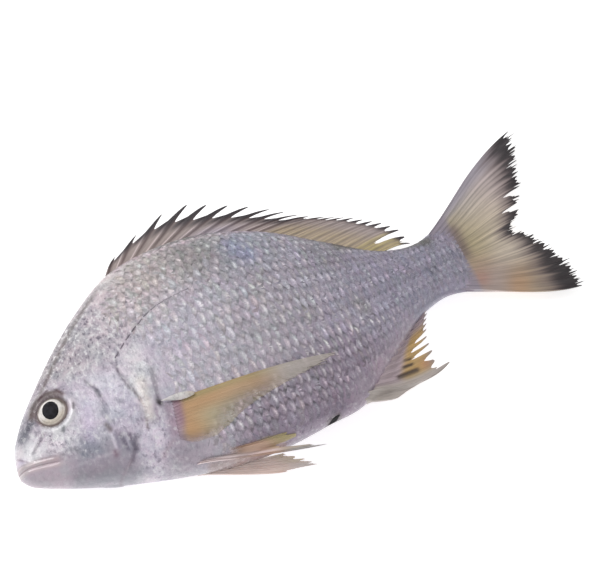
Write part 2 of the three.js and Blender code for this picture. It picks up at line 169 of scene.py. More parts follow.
@dataclass(frozen=True)
class BodyShape:
    """The smooth body in millimetres: x from the snout to the tail, y to the back, z up."""

    snout: float = -1.6
    end: float = 252.0
    mid_height: float = 20.0
    tail_droop: float = 11.0
    droop_start: float = 150.0
    droop_span: float = 150.0
    nose_radius: float = 5.0
    nose_level: float = -8.0
    widest_share: float = 0.42
    back_power: float = 1.9
    belly_power: float = 2.2
    back: Profile = Profile((
        (-1.6, 1.5), (11, 17.5), (24, 30), (61, 58.8), (83, 70.3), (105, 73.5),
        (170, 55), (190, 40.5), (218, 22.6), (232, 20.4), (245, 24), (252, 27.5),
    ))
    belly: Profile = Profile((
        (-1.6, -12.5), (7, -17.6), (16, -22), (57, -38), (120, -51.2),
        (150, -50), (172, -47.6), (190, -36), (222, -14.8), (234, -12), (252, -15.8),
    ))
    thickness: Profile = Profile((
        (-1.6, 5.5), (24, 13.5), (44, 18), (70, 22), (130, 21.5), (210, 8.5), (245, 3.2), (252, 1.3),
    ))

    def middle(self, x: Array) -> Array:
        """Height of the middle plane above the table: level in front, sinking to the tail."""
        return self.mid_height - self.tail_droop * smooth(0, self.droop_span, x - self.droop_start)

    def section(self, x: Array) -> Section:
        """Cross sections at stations; the snout closes to a point on a quarter circle."""
        ahead = np.clip((np.asarray(x, float) - self.snout) / self.nose_radius, 0.0, 1.0)
        blunt = np.sqrt(1.0 - (1.0 - ahead) ** 2)
        top = self.nose_level + (self.back(x) - self.nose_level) * blunt
        bottom = self.nose_level + (self.belly(x) - self.nose_level) * blunt
        widest = bottom + (top - bottom) * self.widest_share
        return Section(top, bottom, widest, self.thickness(x) * blunt)

    def half_at(self, x: Array, y: Array) -> Array:
        """Half thickness at points of the side view: (1 - reach^p)^(1/p) of the fullest."""
        s = self.section(x)
        up = y >= s.widest
        above = (y - s.widest) / np.maximum(s.top - s.widest, 1e-6)
        below = (s.widest - y) / np.maximum(s.widest - s.bottom, 1e-6)
        reach = np.clip(np.where(up, above, below), 0.0, 1.0)
        power = np.where(up, self.back_power, self.belly_power)
        return s.half * (1.0 - reach ** power) ** (1.0 / power)

    def skin(self, x: Array, angle: Array) -> Array:
        """Points of the smooth skin.

        The section is a superellipse: y goes with |cos|^(2/p) and z with |sin|^(2/p).

        Args:
            x: stations.
            angle: angle round the section, 0 at the back, up to pi on the left flank.

        Returns:
            Points, last axis x, y, z.
        """
        s = self.section(x)
        up = np.cos(angle)
        side = np.sign(np.round(np.sin(angle), 9))
        power = np.where(up >= 0, self.back_power, self.belly_power)
        reach = np.abs(up) ** (2.0 / power)
        y = s.widest + np.where(up >= 0, s.top - s.widest, s.bottom - s.widest) * reach
        out = s.half * np.abs(np.sin(angle)) ** (2.0 / power)
        shape = np.broadcast(x, angle).shape
        return np.stack([np.broadcast_to(x, shape), y, self.middle(x) + side * out], axis=-1)


@dataclass(frozen=True)
class Pose:
    """Where the fish's own millimetres lie in the shared frame."""

    shift_x: float
    shift_y: float

    @classmethod
    def from_frame(cls) -> "Pose":
        """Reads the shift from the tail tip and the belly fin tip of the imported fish."""
        low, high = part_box("fish")
        return cls(high.x / MM - TAIL_TIP_X, low.y / MM - PELVIC_TIP_Y)

    def place(self, points: Array) -> Array:
        """Fish points in millimetres as frame points in metres."""
        return (points + np.array([self.shift_x, self.shift_y, 0.0])) * MM


@dataclass
class Surface:
    """A mesh in the making: points with faces, colours and texture places."""

    points: Array
    quads: Array
    triangles: Array
    colours: Array
    texture: Array | None = None

    def volume(self) -> float:
        """Signed volume: a sum over triangles of a . (b x c) / 6."""
        faces = np.vstack([self.triangles, self.quads[:, [0, 1, 2]], self.quads[:, [0, 2, 3]]])
        a, b, c = (self.points[faces[:, i]] for i in range(3))
        return float(np.einsum("ij,ij->i", a, np.cross(b, c)).sum() / 6.0)

    def build(self, name: str, pose: Pose, crease: float | None = None) -> bpy.types.Object:
        """Puts the surface into a Blender object at the origin, its faces outwards.

        Args:
            name: the piece's name.
            pose: from fish millimetres to the frame.
            crease: angle in degrees past which an edge is shaded sharp, or None.

        Returns:
            The new object.
        """
        quads, triangles = self.quads, self.triangles
        if self.volume() < 0:
            quads, triangles = quads[:, ::-1], triangles[:, ::-1]
        corners = np.concatenate([quads.ravel(), triangles.ravel()]).astype(np.int32)
        sizes = np.concatenate([np.full(len(quads), 4), np.full(len(triangles), 3)])
        starts = np.concatenate([[0], np.cumsum(sizes)[:-1]]).astype(np.int32)
        mesh = bpy.data.meshes.new(name)
        mesh.vertices.add(len(self.points))
        mesh.vertices.foreach_set("co", pose.place(self.points).astype(np.float32).ravel())
        mesh.loops.add(len(corners))
        mesh.loops.foreach_set("vertex_index", corners)
        mesh.polygons.add(len(starts))
        mesh.polygons.foreach_set("loop_start", starts)
        mesh.update(calc_edges=True)
        mesh.shade_smooth()
        if crease is not None:
            mesh.set_sharp_from_angle(angle=math.radians(crease))
        tint = mesh.color_attributes.new(name="Tint", type="FLOAT_COLOR", domain="POINT")
        tint.data.foreach_set("color", self.colours.astype(np.float32).ravel())
        if self.texture is not None:
            layer = mesh.uv_layers.new(name="Surface")
            layer.data.foreach_set("uv", self.texture[corners].astype(np.float32).ravel())
        piece = bpy.data.objects.new(name, mesh)
        bpy.context.scene.collection.objects.link(piece)
        return piece

    def make(self, name: str, pose: Pose, material: bpy.types.Material, slot: Slot, node: str,
             crease: float | None = None) -> None:
        """Builds the piece, gives it its material, fastens it to the body and reports it.

        Args:
            name: the piece's name.
            pose: from fish millimetres to the frame.
            material: what it is made of.
            slot: the record's material slot; not used.
            node: the solid that the piece replaces.
            crease: angle in degrees past which an edge is shaded sharp, or None.
        """
        piece = self.build(name, pose, crease)
        piece.data.materials.append(material)
        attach(piece, BODY)
        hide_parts(node)
        log.info("%s: %d faces, replaces %s", name, len(piece.data.polygons), node)


def rgba(colour: Array, mask: Array) -> Array:
    """Screen colours and a mask as linear red, green, blue and alpha, one row a point."""
    flat = linear(colour).reshape(-1, 3)
    return np.column_stack([flat, np.broadcast_to(mask, colour.shape[:-1]).ravel()])


def grid_quads(rows: int, columns: int, wrap: bool = False) -> Array:
    """Faces of a grid of points stored row by row, closed round the columns if wrapped."""
    r = np.arange(rows - 1)[:, None]
    c = np.arange(columns if wrap else columns - 1)[None, :]
    d = (c + 1) % columns
    corners = (r * columns + c, r * columns + d, (r + 1) * columns + d, (r + 1) * columns + c)
    return np.stack(corners, axis=-1).reshape(-1, 4)


def grid_rim(rows: int, columns: int) -> Array:
    """Point numbers along the edge of a grid, once round, in the order of its faces."""
    top = np.arange(columns - 1)
    right = np.arange(rows - 1) * columns + columns - 1
    bottom = (rows - 1) * columns + np.arange(columns - 1, 0, -1)
    left = np.arange(rows - 1, 0, -1) * columns
    return np.concatenate([top, right, bottom, left])


def capped_rings(rows: int, columns: int) -> tuple[Array, Array]:
    """Faces of a closed body of rings whose two poles are stored after all the rings.

    Args:
        rows: rings between the poles.
        columns: points in a ring.

    Returns:
        Quads between the rings, and triangles round the first and the last pole.
    """
    size = rows * columns
    ring = np.arange(columns)
    after = (ring + 1) % columns
    last = size - columns
    first_cap = np.column_stack([np.full(columns, size), after, ring])
    last_cap = np.column_stack([np.full(columns, size + 1), last + ring, last + after])
    return grid_quads(rows, columns, wrap=True), np.vstack([first_cap, last_cap])


class NodeTree:
    """A small helper that adds and links shader nodes of one material."""

    def __init__(self, name: str) -> None:
        """Makes the material with one Principled shader."""
        self.material = bpy.data.materials.new(name)
        self.material.use_nodes = True
        self.tree = self.material.node_tree
        self.shader = self.tree.nodes["Principled BSDF"]

    def feed(self, target: bpy.types.NodeSocket, value: object) -> None:
        """Links an output to an input, or sets the input to a plain value."""
        if isinstance(value, bpy.types.NodeSocket):
            self.tree.links.new(value, target)
        else:
            target.default_value = value

    def node(self, kind: str, **values: object) -> bpy.types.Node:
        """Adds a node and sets its properties and inputs.

        Args:
            kind: node type name without the ShaderNode prefix.
            values: properties by name, or inputs with _ for a space.

        Returns:
            The node.
        """
        made = self.tree.nodes.new("ShaderNode" + kind)
        for key, value in values.items():
            if hasattr(made, key):
                setattr(made, key, value)
            else:
                self.feed(made.inputs[key.replace("_", " ")], value)
        return made

    def place(self, kind: str = "Object") -> bpy.types.NodeSocket:
        """Where a point lies in the frame, or with UV on the surface."""
        return self.node("TexCoord").outputs[kind]

    def tint(self, channel: str = "Color") -> bpy.types.NodeSocket:
        """The painted colour of the surface, or with Alpha its mask."""
        return self.node("Attribute", attribute_name="Tint").outputs[channel]

    def noise(self, place: bpy.types.NodeSocket, scale: float, detail: float = 3.0) -> bpy.types.NodeSocket:
        """A noise pattern's value at a place."""
        return self.node("TexNoise", Vector=place, Scale=scale, Detail=detail, Roughness=0.6).outputs["Fac"]

    def remap(self, value: bpy.types.NodeSocket, *limits: float) -> bpy.types.NodeSocket:
        """Maps a value from limits 0 and 1 to limits 2 and 3, smoothly and clamped."""
        span = dict(zip(("From_Min", "From_Max", "To_Min", "To_Max"), limits))
        return self.node("MapRange", interpolation_type="SMOOTHSTEP", Value=value, **span).outputs["Result"]

    def times(self, first: bpy.types.NodeSocket, second: bpy.types.NodeSocket) -> bpy.types.NodeSocket:
        """Two values multiplied."""
        made = self.node("Math", operation="MULTIPLY")
        for number, value in enumerate((first, second)):
            self.feed(made.inputs[number], value)
        return made.outputs[0]

    def blend(self, kind: str, share: object, first: object, second: object) -> bpy.types.NodeSocket:
        """Mixes two colours.

        Args:
            kind: blend type, such as MIX or MULTIPLY.
            share: factor as a number or a socket.
            first: colour or socket.
            second: colour or socket.

        Returns:
            The mixed colour's socket.
        """
        made = self.node("Mix", data_type="RGBA", blend_type=kind)
        for number, value in ((0, share), (6, first), (7, second)):
            self.feed(made.inputs[number], value)
        return made.outputs[2]

    def bump(self, *layers: tuple[bpy.types.NodeSocket, float], strength: object = 1.0) -> None:
        """Chains bump layers.

        Args:
            layers: a height socket and its depth in metres, for each layer.
            strength: how much of the bumps shows, as a number or a socket.
        """
        previous = None
        for height, depth in layers:
            made = self.node("Bump", Strength=strength, Distance=depth, Height=height)
            if previous is not None:
                self.feed(made.inputs["Normal"], previous)
            previous = made.outputs["Normal"]
        self.set(Normal=previous)

    def set(self, **values: object) -> None:
        """Sets or links the shader's own inputs, with _ for a space."""
        for key, value in values.items():
            self.feed(self.shader.inputs[key.replace("_", " ")], value)


def shade(level: float) -> tuple[float, float, float, float]:
    """A grey of a linear level as a socket colour."""
    return (level, level, level, 1.0)


@dataclass(frozen=True)
class WetSkin:
    """Bare moist skin of the head: mottled, pearly and finely wrinkled."""

    name: str = "wet_skin"
    roughness: float = 0.3
    coat: float = 0.3
    patch_scale: float = 185.0
    fleck_scale: float = 430.0
    fleck_stretch: tuple[float, float, float] = (1.25, 0.8, 1.0)
    warm_pearl: Tint = (1.04, 0.98, 1.03, 1.0)
    cool_pearl: Tint = (0.95, 0.99, 1.0, 1.0)
    dull_patch: Tint = (0.74, 0.74, 0.79, 1.0)
    light_patch: Tint = (1.16, 1.15, 1.14, 1.0)
    dark_fleck: Tint = (0.34, 0.33, 0.38, 1.0)
    painted_glint: Tint = (0.8, 0.78, 0.8, 1.0)
    wrinkle_depth: float = 0.0014
    grain_depth: float = 0.00012

    def material(self) -> bpy.types.Material:
        """The tint under pearly patches, with dark specks and white specks of painted glint, all where its
        alpha says so.
        """
        tree = NodeTree(self.name)
        place, mottle = tree.place(), tree.tint("Alpha")
        hue = tree.remap(tree.noise(place, 0.55 * self.patch_scale, 4.0), 0.36, 0.64, 0.0, 1.0)
        pearl = tree.blend("MIX", hue, self.warm_pearl, self.cool_pearl)
        base = tree.blend("MULTIPLY", 1.0, tree.tint(), pearl)
        patch = tree.remap(tree.noise(place, self.patch_scale, 6.0), 0.38, 0.62, 0.0, 1.0)
        patches = tree.blend("MIX", patch, self.dull_patch, self.light_patch)
        base = tree.blend("MULTIPLY", mottle, base, patches)
        stretched = tree.node("Mapping", Vector=place, Scale=self.fleck_stretch).outputs["Vector"]
        fleck = tree.noise(stretched, self.fleck_scale, 5.0)
        dark = tree.times(tree.remap(fleck, 0.53, 0.66, 0.0, 1.0), mottle)
        base = tree.blend("MULTIPLY", dark, base, self.dark_fleck)
        # painted glints: white streaks screened over the skin where the stretched noise is low
        white = tree.times(tree.remap(fleck, 0.47, 0.35, 0.0, 1.0), mottle)
        base = tree.blend("SCREEN", white, base, self.painted_glint)
        rough = tree.remap(tree.noise(place, 300.0), 0.3, 0.7, self.roughness - 0.08, self.roughness + 0.1)
        grain = tree.noise(place, 1500.0)
        tree.bump((fleck, self.wrinkle_depth), (grain, self.grain_depth), strength=mottle)
        tree.set(Base_Color=base, Roughness=rough, Coat_Weight=self.coat, Coat_Roughness=0.18, Metallic=0.05)
        return tree.material


@dataclass(frozen=True)
class ScaleFinish:
    """Thin silvery scales: pearly, ringed and glossy."""

    name: str = "silver_scale"
    roughness: float = 0.44
    rings: float = 9.0
    ring_depth: float = 0.00003
    grain_depth: float = 0.0001
    warm_pearl: Tint = (1.04, 0.99, 1.02, 1.0)
    cool_pearl: Tint = (0.93, 0.97, 0.98, 1.0)
    grains: tuple[tuple[float, float, float], ...] = ((620.0, 0.9, 1.1), (1700.0, 0.84, 1.16))

    def material(self) -> bpy.types.Material:
        """The tint, with growth rings along each scale, a pearly shift and fine grain."""
        tree = NodeTree(self.name)
        place = tree.place()
        cloud = tree.remap(tree.noise(place, 190.0, 4.0), 0.32, 0.68, 0.0, 1.0)
        pearl = tree.blend("MIX", cloud, self.warm_pearl, self.cool_pearl)
        base = tree.blend("MULTIPLY", 1.0, tree.tint(), pearl)
        for scale, low, high in self.grains:
            grain = tree.remap(tree.noise(place, scale, 2.0), 0.34, 0.66, low, high)
            base = tree.blend("MULTIPLY", 1.0, base, grain)
        rough = tree.remap(tree.noise(place, 420.0), 0.3, 0.7, self.roughness - 0.08, self.roughness + 0.12)
        ring = tree.node("TexWave", Vector=tree.place("UV"), bands_direction="Y", Scale=self.rings,
                         Distortion=1.5, Detail=1.0).outputs["Fac"]
        tree.bump((ring, self.ring_depth), (tree.noise(place, 900.0), self.grain_depth))
        tree.set(Base_Color=base, Roughness=rough, Coat_Weight=0.12, Coat_Roughness=0.25, Metallic=0.1)
        return tree.material


@dataclass(frozen=True)
class FinFinish:
    """Thin fin web over bony rays: streaked along the rays, slightly translucent."""

    name: str = "fin_web"
    streaks: tuple[float, float, float] = (130.0, 2.5, 1.0)
    streak_depth: float = 0.00025
    roughness: float = 0.42

    def material(self) -> bpy.types.Material:
        """The tint, streaked along the rays by a stretched noise; its alpha is the cover."""
        tree = NodeTree(self.name)
        stretched = tree.node("Mapping", Vector=tree.place("UV"), Scale=self.streaks).outputs["Vector"]
        streak = tree.noise(stretched, 1.0, 4.0)
        base = tree.blend("MULTIPLY", 1.0, tree.tint(), tree.remap(streak, 0.3, 0.7, 0.84, 1.12))
        tree.bump((streak, self.streak_depth))
        tree.set(Base_Color=base, Alpha=tree.tint("Alpha"), Roughness=self.roughness)
        tree.set(Coat_Weight=0.25, Coat_Roughness=0.25)
        return tree.material


@dataclass(frozen=True)
class EyeFinish:
    """Wet eye: a smooth coated surface in its own tint."""

    name: str = "wet_eye"
    roughness: float = 0.35
    ripple: float = 0.00005

    def material(self) -> bpy.types.Material:
        """The tint with fine flecks, under a thin wet coat."""
        tree = NodeTree(self.name)
        place = tree.place()
        fleck = tree.remap(tree.noise(place, 800.0, 3.0), 0.35, 0.7, 1.05, 0.86)
        tree.bump((tree.noise(place, 500.0), self.ripple))
        tree.set(Base_Color=tree.blend("MULTIPLY", 1.0, tree.tint(), fleck))
        tree.set(Roughness=self.roughness, Coat_Weight=0.25, Coat_Roughness=0.2)
        return tree.material


@dataclass(frozen=True)
class PupilFinish:
    """Black lens under soft moist skin."""

    name: str = "black_pupil"
    black: Tint = (0.007, 0.006, 0.008, 1.0)
    cloud: Tint = (0.024, 0.022, 0.03, 1.0)

    def material(self) -> bpy.types.Material:
        """Near black and dull, a little lighter in the clouds of the lens."""
        tree = NodeTree(self.name)
        cloud = tree.remap(tree.noise(tree.place(), 420.0, 3.0), 0.35, 0.7, 0.0, 1.0)
        tree.set(Base_Color=tree.blend("MIX", cloud, self.black, self.cloud))
        tree.set(Roughness=0.6, Specular_IOR_Level=0.2)
        return tree.material


@dataclass(frozen=True)
class Zone:
    """A patch of colour on the flank: where its middle is, how far it reaches, its tone."""

    x: float
    y: float
    reach: float
    tone: Colour
    mottle: float = 0.25


def blend_zones(zones: tuple[Zone, ...], x: Array, y: Array, stretch: float = 1.0,
                floor: float = 0.02) -> tuple[Array, Array]:
    """Blends zones by weights that fall with the distance, as exp(-far) + floor / (1 + far).

    Args:
        zones: patches of colour.
        x: distance from the snout.
        y: height in the side view.
        stretch: how much wider than its own reach each zone spreads.
        floor: the weight that a zone still has at a distance.

    Returns:
        Screen colours, and how mottled the skin is there.
    """
    total = np.zeros(x.shape)
    colour = np.zeros(x.shape + (3,))
    mottle = np.zeros(x.shape)
    for zone in zones:
        far = ((x - zone.x) ** 2 + (y - zone.y) ** 2) / (stretch * zone.reach) ** 2
        weight = np.exp(-far) + floor / (1.0 + far)
        total += weight
        colour += weight[..., None] * np.array(zone.tone, float)
        mottle += weight * zone.mottle
    return colour / total[..., None], mottle / total


@dataclass(frozen=True)
class Line:
    """A soft line between two places in the side view, a round spot where they meet."""

    start: tuple[float, float]
    end: tuple[float, float]
    width: float

    def near(self, x: Array, y: Array) -> Array:
        """How near points are to the line: a bell of their distance from it."""
        along = np.array(self.end, float) - np.array(self.start, float)
        length = max(float(along @ along), 1e-9)
        t = ((x - self.start[0]) * along[0] + (y - self.start[1]) * along[1]) / length
        t = np.clip(t, 0.0, 1.0)
        far = np.hypot(x - self.start[0] - t * along[0], y - self.start[1] - t * along[1])
        return bell(far, self.width)


@dataclass(frozen=True)
class Stroke(Line):
    """A line of colour."""

    tone: Colour
    strength: float

    def over(self, colour: Array, x: Array, y: Array) -> Array:
        """The colours with the stroke laid over them."""
        return mix(colour, np.array(self.tone, float), self.strength * self.near(x, y))


# the snout's groove: the relief sinks along this line, and its dark stroke is painted shade in the groove
SNOUT_GROOVE = Stroke((8.6, -2.2), (17.2, 3.8), 0.6, (122, 116, 126), 0.6)
SNOUT_STROKES = (
    Stroke((7.4, 7.6), (15.2, 12.2), 1.9, (120, 119, 130), 0.8),
    Stroke((1.6, -2.6), (2.6, -2.9), 1.6, (226, 214, 232), 0.8),
    Stroke((1.2, -0.4), (4.4, -4.6), 0.5, (142, 122, 134), 0.6),
    Stroke((10.5, -4.4), (18.5, -7.6), 0.6, (168, 156, 164), 0.45),
    Stroke((17.0, -5.0), (21.5, -10.5), 0.6, (150, 144, 152), 0.5),
    # the next two pale strokes are painted highlights on both sides of the snout's groove
    Stroke((6.2, -0.6), (15.3, 8.6), 1.6, (238, 233, 236), 0.8),
    Stroke((18.5, -4.4), (23.5, -4.0), 1.5, (246, 243, 246), 0.6),
    SNOUT_GROOVE,
)
EYE_STROKES = (
    # the first two strokes are painted shade: dark arcs under the brow, over the eye
    Stroke((24.0, 22.2), (29.2, 24.6), 0.8, (86, 64, 70), 0.85),
    Stroke((33.4, 22.2), (35.2, 17.6), 0.7, (98, 80, 80), 0.7),
    Stroke((28.0, 2.2), (33.5, 7.2), 1.1, (240, 234, 238), 0.7),
    Stroke((33.5, 7.2), (37.4, 12.6), 0.9, (236, 228, 234), 0.55),
    Stroke((36.4, 8.4), (37.4, 10.4), 0.7, (94, 90, 96), 0.75),
    Stroke((26.6, 0.2), (28.2, 2.0), 0.7, (104, 106, 110), 0.7),
)
CHEEK_STROKES = (
    Stroke((42.6, 6.1), (37.0, -11.0), 3.2, (190, 180, 206), 0.5),
    Stroke((47.6, 18.5), (50.4, 10.5), 0.8, (112, 108, 120), 0.75),
    Stroke((50.6, 10.2), (50.3, 7.2), 1.1, (98, 98, 108), 0.8),
    Stroke((50.2, 4.6), (49.0, -1.0), 1.0, (120, 116, 132), 0.65),
    Stroke((46.8, -7.6), (47.6, -10.8), 1.1, (112, 104, 106), 0.75),
    Stroke((52.6, 13.0), (52.2, 8.6), 0.8, (232, 230, 238), 0.5),
    Stroke((48.6, -3.6), (49.6, -7.6), 0.9, (226, 222, 222), 0.55),
    Stroke((33.0, -11.0), (38.4, -18.0), 2.2, (158, 158, 172), 0.55),
    Stroke((30.0, -14.5), (34.0, -19.0), 0.9, (122, 126, 142), 0.5),
    Stroke((26.0, -9.5), (29.5, -13.5), 0.8, (146, 142, 150), 0.5),
    Stroke((56.6, 1.2), (58.4, -0.6), 1.5, (150, 150, 162), 0.65),
    Stroke((45.0, -21.6), (45.0, -22.6), 1.4, (136, 114, 128), 0.8),
    Stroke((17.5, -16.6), (44.0, -21.4), 0.9, (212, 203, 212), 0.4),
    Stroke((24.0, -23.0), (42.0, -27.0), 3.0, (162, 155, 164), 0.5),
    Stroke((47.0, -13.2), (46.4, -19.8), 0.9, (238, 232, 242), 0.75),
)
GILL_STROKES = (
    Stroke((48.8, -13.2), (48.0, -20.4), 1.0, (150, 144, 162), 0.65),
    Stroke((51.0, -15.6), (51.6, -22.6), 1.4, (116, 108, 126), 0.88),
    Stroke((54.6, -17.2), (55.2, -25.0), 1.5, (122, 114, 130), 0.82),
    Stroke((57.4, -19.6), (51.6, -28.4), 1.2, (130, 122, 136), 0.7),
    Stroke((53.2, -18.6), (52.4, -22.8), 0.5, (206, 200, 214), 0.6),
    Stroke((50.6, -28.6), (42.5, -32.8), 1.0, (148, 134, 146), 0.6),
    Stroke((66.2, 21.8), (63.9, 14.1), 0.6, (100, 94, 108), 0.7),
    Stroke((63.9, 14.1), (64.8, 5.5), 0.6, (116, 106, 120), 0.6),
    Stroke((64.8, 5.5), (67.4, -2.2), 0.8, (104, 96, 104), 0.65),
    Stroke((67.6, -3.0), (67.9, -9.0), 0.7, (132, 116, 112), 0.75),
    Stroke((67.9, -9.0), (64.4, -18.6), 0.7, (124, 110, 114), 0.75),
    Stroke((65.6, -3.0), (65.9, -6.0), 0.7, (238, 232, 240), 0.7),
    Stroke((65.2, -11.0), (63.0, -16.5), 0.7, (234, 226, 238), 0.6),
)
GIRDLE_STROKES = (
    Stroke((75.0, 21.0), (71.5, 6.0), 5.0, (230, 226, 228), 0.75),
    Stroke((71.2, 4.0), (68.4, -14.0), 3.2, (247, 235, 229), 0.9),
    Stroke((79.5, 8.0), (75.6, -7.0), 1.3, (124, 116, 126), 0.6),
    Stroke((77.5, -14.0), (76.0, -26.0), 3.0, (166, 146, 160), 0.6),
    Stroke((79.6, -14.0), (77.4, -26.0), 2.0, (182, 156, 172), 0.5),
    Stroke((75.0, -9.0), (75.4, -10.4), 1.3, (52, 48, 52), 0.95),
    Stroke((72.4, -11.0), (70.6, -18.0), 1.1, (178, 164, 178), 0.5),
    Stroke((73.2, -29.6), (66.0, -33.4), 1.2, (170, 154, 164), 0.5),
    Stroke((51.0, -35.6), (58.0, -38.5), 1.0, (234, 228, 232), 0.5),
)
BODY_STROKES = (
    Stroke((149.6, -50.2), (155.8, -49.2), 1.2, (84, 70, 76), 0.8),
    Stroke((231.0, 3.2), (232.0, 0.8), 0.7, (76, 74, 88), 0.75),
    Stroke((235.0, 3.0), (235.8, 0.8), 0.6, (84, 80, 94), 0.7),
    Stroke((237.0, 2.2), (248.0, 3.6), 0.6, (200, 194, 210), 0.6),
    Stroke((189.0, -1.0), (192.0, -6.0), 3.6, (152, 150, 143), 0.4),
    Stroke((163.0, 12.0), (165.0, 3.0), 4.0, (164, 161, 157), 0.35),
    Stroke((86.0, -46.0), (100.0, -48.8), 1.6, (164, 144, 140), 0.85),
    Stroke((100.0, -48.8), (124.0, -51.6), 1.6, (172, 148, 140), 0.85),
    # painted light: the next two pale strokes lighten the shaded underside of the belly in front of the anal
    # fin
    Stroke((168.0, -45.0), (188.0, -34.6), 4.5, (196, 178, 188), 0.5),
    Stroke((188.0, -34.6), (210.0, -20.0), 4.5, (196, 178, 188), 0.5),
    Stroke((147.0, 53.5), (150.5, 46.0), 5.6, (156, 162, 196), 0.6),
    Stroke((196.0, 34.5), (238.0, 18.5), 3.0, (98, 98, 90), 0.75),
)
STROKES = SNOUT_STROKES + EYE_STROKES + CHEEK_STROKES + GILL_STROKES + GIRDLE_STROKES + BODY_STROKES


@dataclass(frozen=True)
class SkinPaint:
    """Colours of the skin as functions of the place in the side view."""

    zones: tuple[Zone, ...] = (
        Zone(105, 14, 26, (206, 200, 212)),
        Zone(140, 4, 24, (184, 178, 186)),
        Zone(172, 4, 22, (180, 173, 188)),
        Zone(205, 6, 18, (164, 159, 176)),
        Zone(232, 6, 14, (160, 155, 172)),
        Zone(165, -30, 20, (150, 136, 152)),
        Zone(125, -38, 20, (163, 150, 166)),
        Zone(96, -34, 12, (206, 199, 207)),
        Zone(98, 58, 16, (208, 197, 194)),
        Zone(125, 62, 14, (168, 164, 165)),
        Zone(152, 50, 12, (166, 165, 176)),
        Zone(190, 34, 9, (152, 148, 156)),
        Zone(80, 44, 14, (222, 212, 214), 1.0),
        Zone(46, 42, 12, (202, 195, 197), 1.0),
        Zone(62, 40, 12, (206, 200, 205), 1.0),
        Zone(40, 4, 14, (200, 192, 204), 0.4),
        Zone(24, 0, 7, (224, 219, 223), 1.1),
        Zone(8, -3, 5, (236, 229, 232), 0.35),
        Zone(12, -16, 8, (202, 190, 198), 0.15),
        Zone(36, -28, 12, (171, 166, 176), 0.12),
        Zone(57, 0, 10, (198, 195, 209), 0.5),
        Zone(36, -14, 5, (180, 176, 188), 0.7),
        Zone(72, 8, 8, (222, 218, 222), 0.6),
        Zone(66, -26, 8, (236, 227, 239), 0.7),
        Zone(78, -36, 9, (180, 173, 182), 0.3),
        Zone(13, 12, 4, (150, 146, 156), 0.5),
    )
    gill_edge: Profile = Profile((
        (-34, 42), (-21, 58.5), (-8.4, 65.1), (-1.6, 66.6), (12.6, 64.3), (30, 61),
    ))
    cheek_edge: Profile = Profile(((-26, 43), (-9.7, 47.2), (3.6, 50.9), (15.6, 49.9)))
    mouth: Profile = Profile(((-4, -7.2), (5.6, -8.4), (10, -9.7), (17.7, -12.2)))
    lateral: Profile = Profile((
        (66, 22), (77.7, 29.7), (93.4, 37.5), (110, 40), (150, 34), (190, 20), (230, 7), (252, 5),
    ))
    forehead: Profile = Profile(((0, -3), (11, 12.5), (24, 23), (44, 40.2), (61, 53.4), (83, 66.4)))
    ridge: Profile = Profile(((80, 65.5), (95, 71.3), (114, 69.1), (135, 66.3), (151, 63.3), (165, 58)))
    eye: tuple[float, float] = EYE_PLACE
    flesh_end: float = 252.0
    flesh_bulge: float = 4.5
    brow_radius: float = 9.8
    brow_shadow_tone: Colour = (102, 89, 85)
    crescent_radius: float = 10.6
    crescent_tone: Colour = (240, 235, 236)
    lid_radius: float = 8.3
    lid_tone: Colour = (128, 114, 112)
    upper_lip: Colour = (204, 184, 182)
    lower_lip: Colour = (222, 208, 206)
    mouth_slit: Colour = (146, 124, 124)
    lip_crease: Colour = (164, 146, 150)
    chin: Colour = (196, 184, 194)
    ridge_tone: Colour = (222, 203, 210)
    brink_tone: Colour = (118, 108, 108)
    tail_root: Colour = (160, 150, 162)

    def past_flesh(self, x: Array, y: Array) -> Array:
        """How far points lie behind the rounded end of the scaled flesh at the tail."""
        return x - self.flesh_end + self.flesh_bulge * ((y - 5.5) / 16.0) ** 2

    def round_eye(self, colour: Array, x: Array, y: Array) -> tuple[Array, Array]:
        """Lays the brow's painted shade, the pale crescent and the lid over the colours.

        Args:
            colour: screen colours.
            x: distance from the snout.
            y: height in the side view.

        Returns:
            Screen colours, and how far brow or crescent smooth the mottled skin.
        """
        from_eye = np.hypot(x - self.eye[0], y - self.eye[1])
        turn = np.arctan2(y - self.eye[1], x - self.eye[0])
        brow = bell(from_eye - self.brow_radius, 1.9) * smooth(-0.1, 0.7, np.sin(turn - 0.25))
        crescent = bell(from_eye - self.crescent_radius, 1.9) * smooth(-0.1, 0.8, np.sin(-turn + 0.5))
        # painted shade: a dark ring just inside the raised brow, on the eye's upper side
        colour = mix(colour, self.brow_shadow_tone, 0.9 * brow)
        colour = mix(colour, self.crescent_tone, 0.8 * crescent)
        colour = mix(colour, self.lid_tone, 0.7 * bell(from_eye - self.lid_radius, 0.7))
        return colour, 0.7 * np.maximum(brow, crescent)

    def lips(self, colour: Array, x: Array, y: Array) -> tuple[Array, Array]:
        """Lays both lips, the slit between them, the crease above and the chin over the colours.

        Args:
            colour: screen colours.
            x: distance from the snout.
            y: height in the side view.

        Returns:
            Screen colours, and how far the lips smooth the mottled skin.
        """
        off = y - self.mouth(x)
        near = 1.0 - smooth(17.0, 22.0, x)
        colour = mix(colour, self.upper_lip, 0.65 * bell(off - 1.7, 1.1) * near)
        colour = mix(colour, self.lower_lip, 0.7 * bell(off + 1.4, 1.0) * near)
        colour = mix(colour, self.chin, 0.5 * bell(off + 4.0, 2.0) * (1.0 - smooth(6.0, 26.0, x)))
        colour = mix(colour, self.mouth_slit, 0.5 * bell(off, 0.36) * near)
        colour = mix(colour, self.lip_crease, 0.5 * bell(off - 3.1, 0.4) * near)
        return colour, 0.9 * bell(off, 4.0) * near

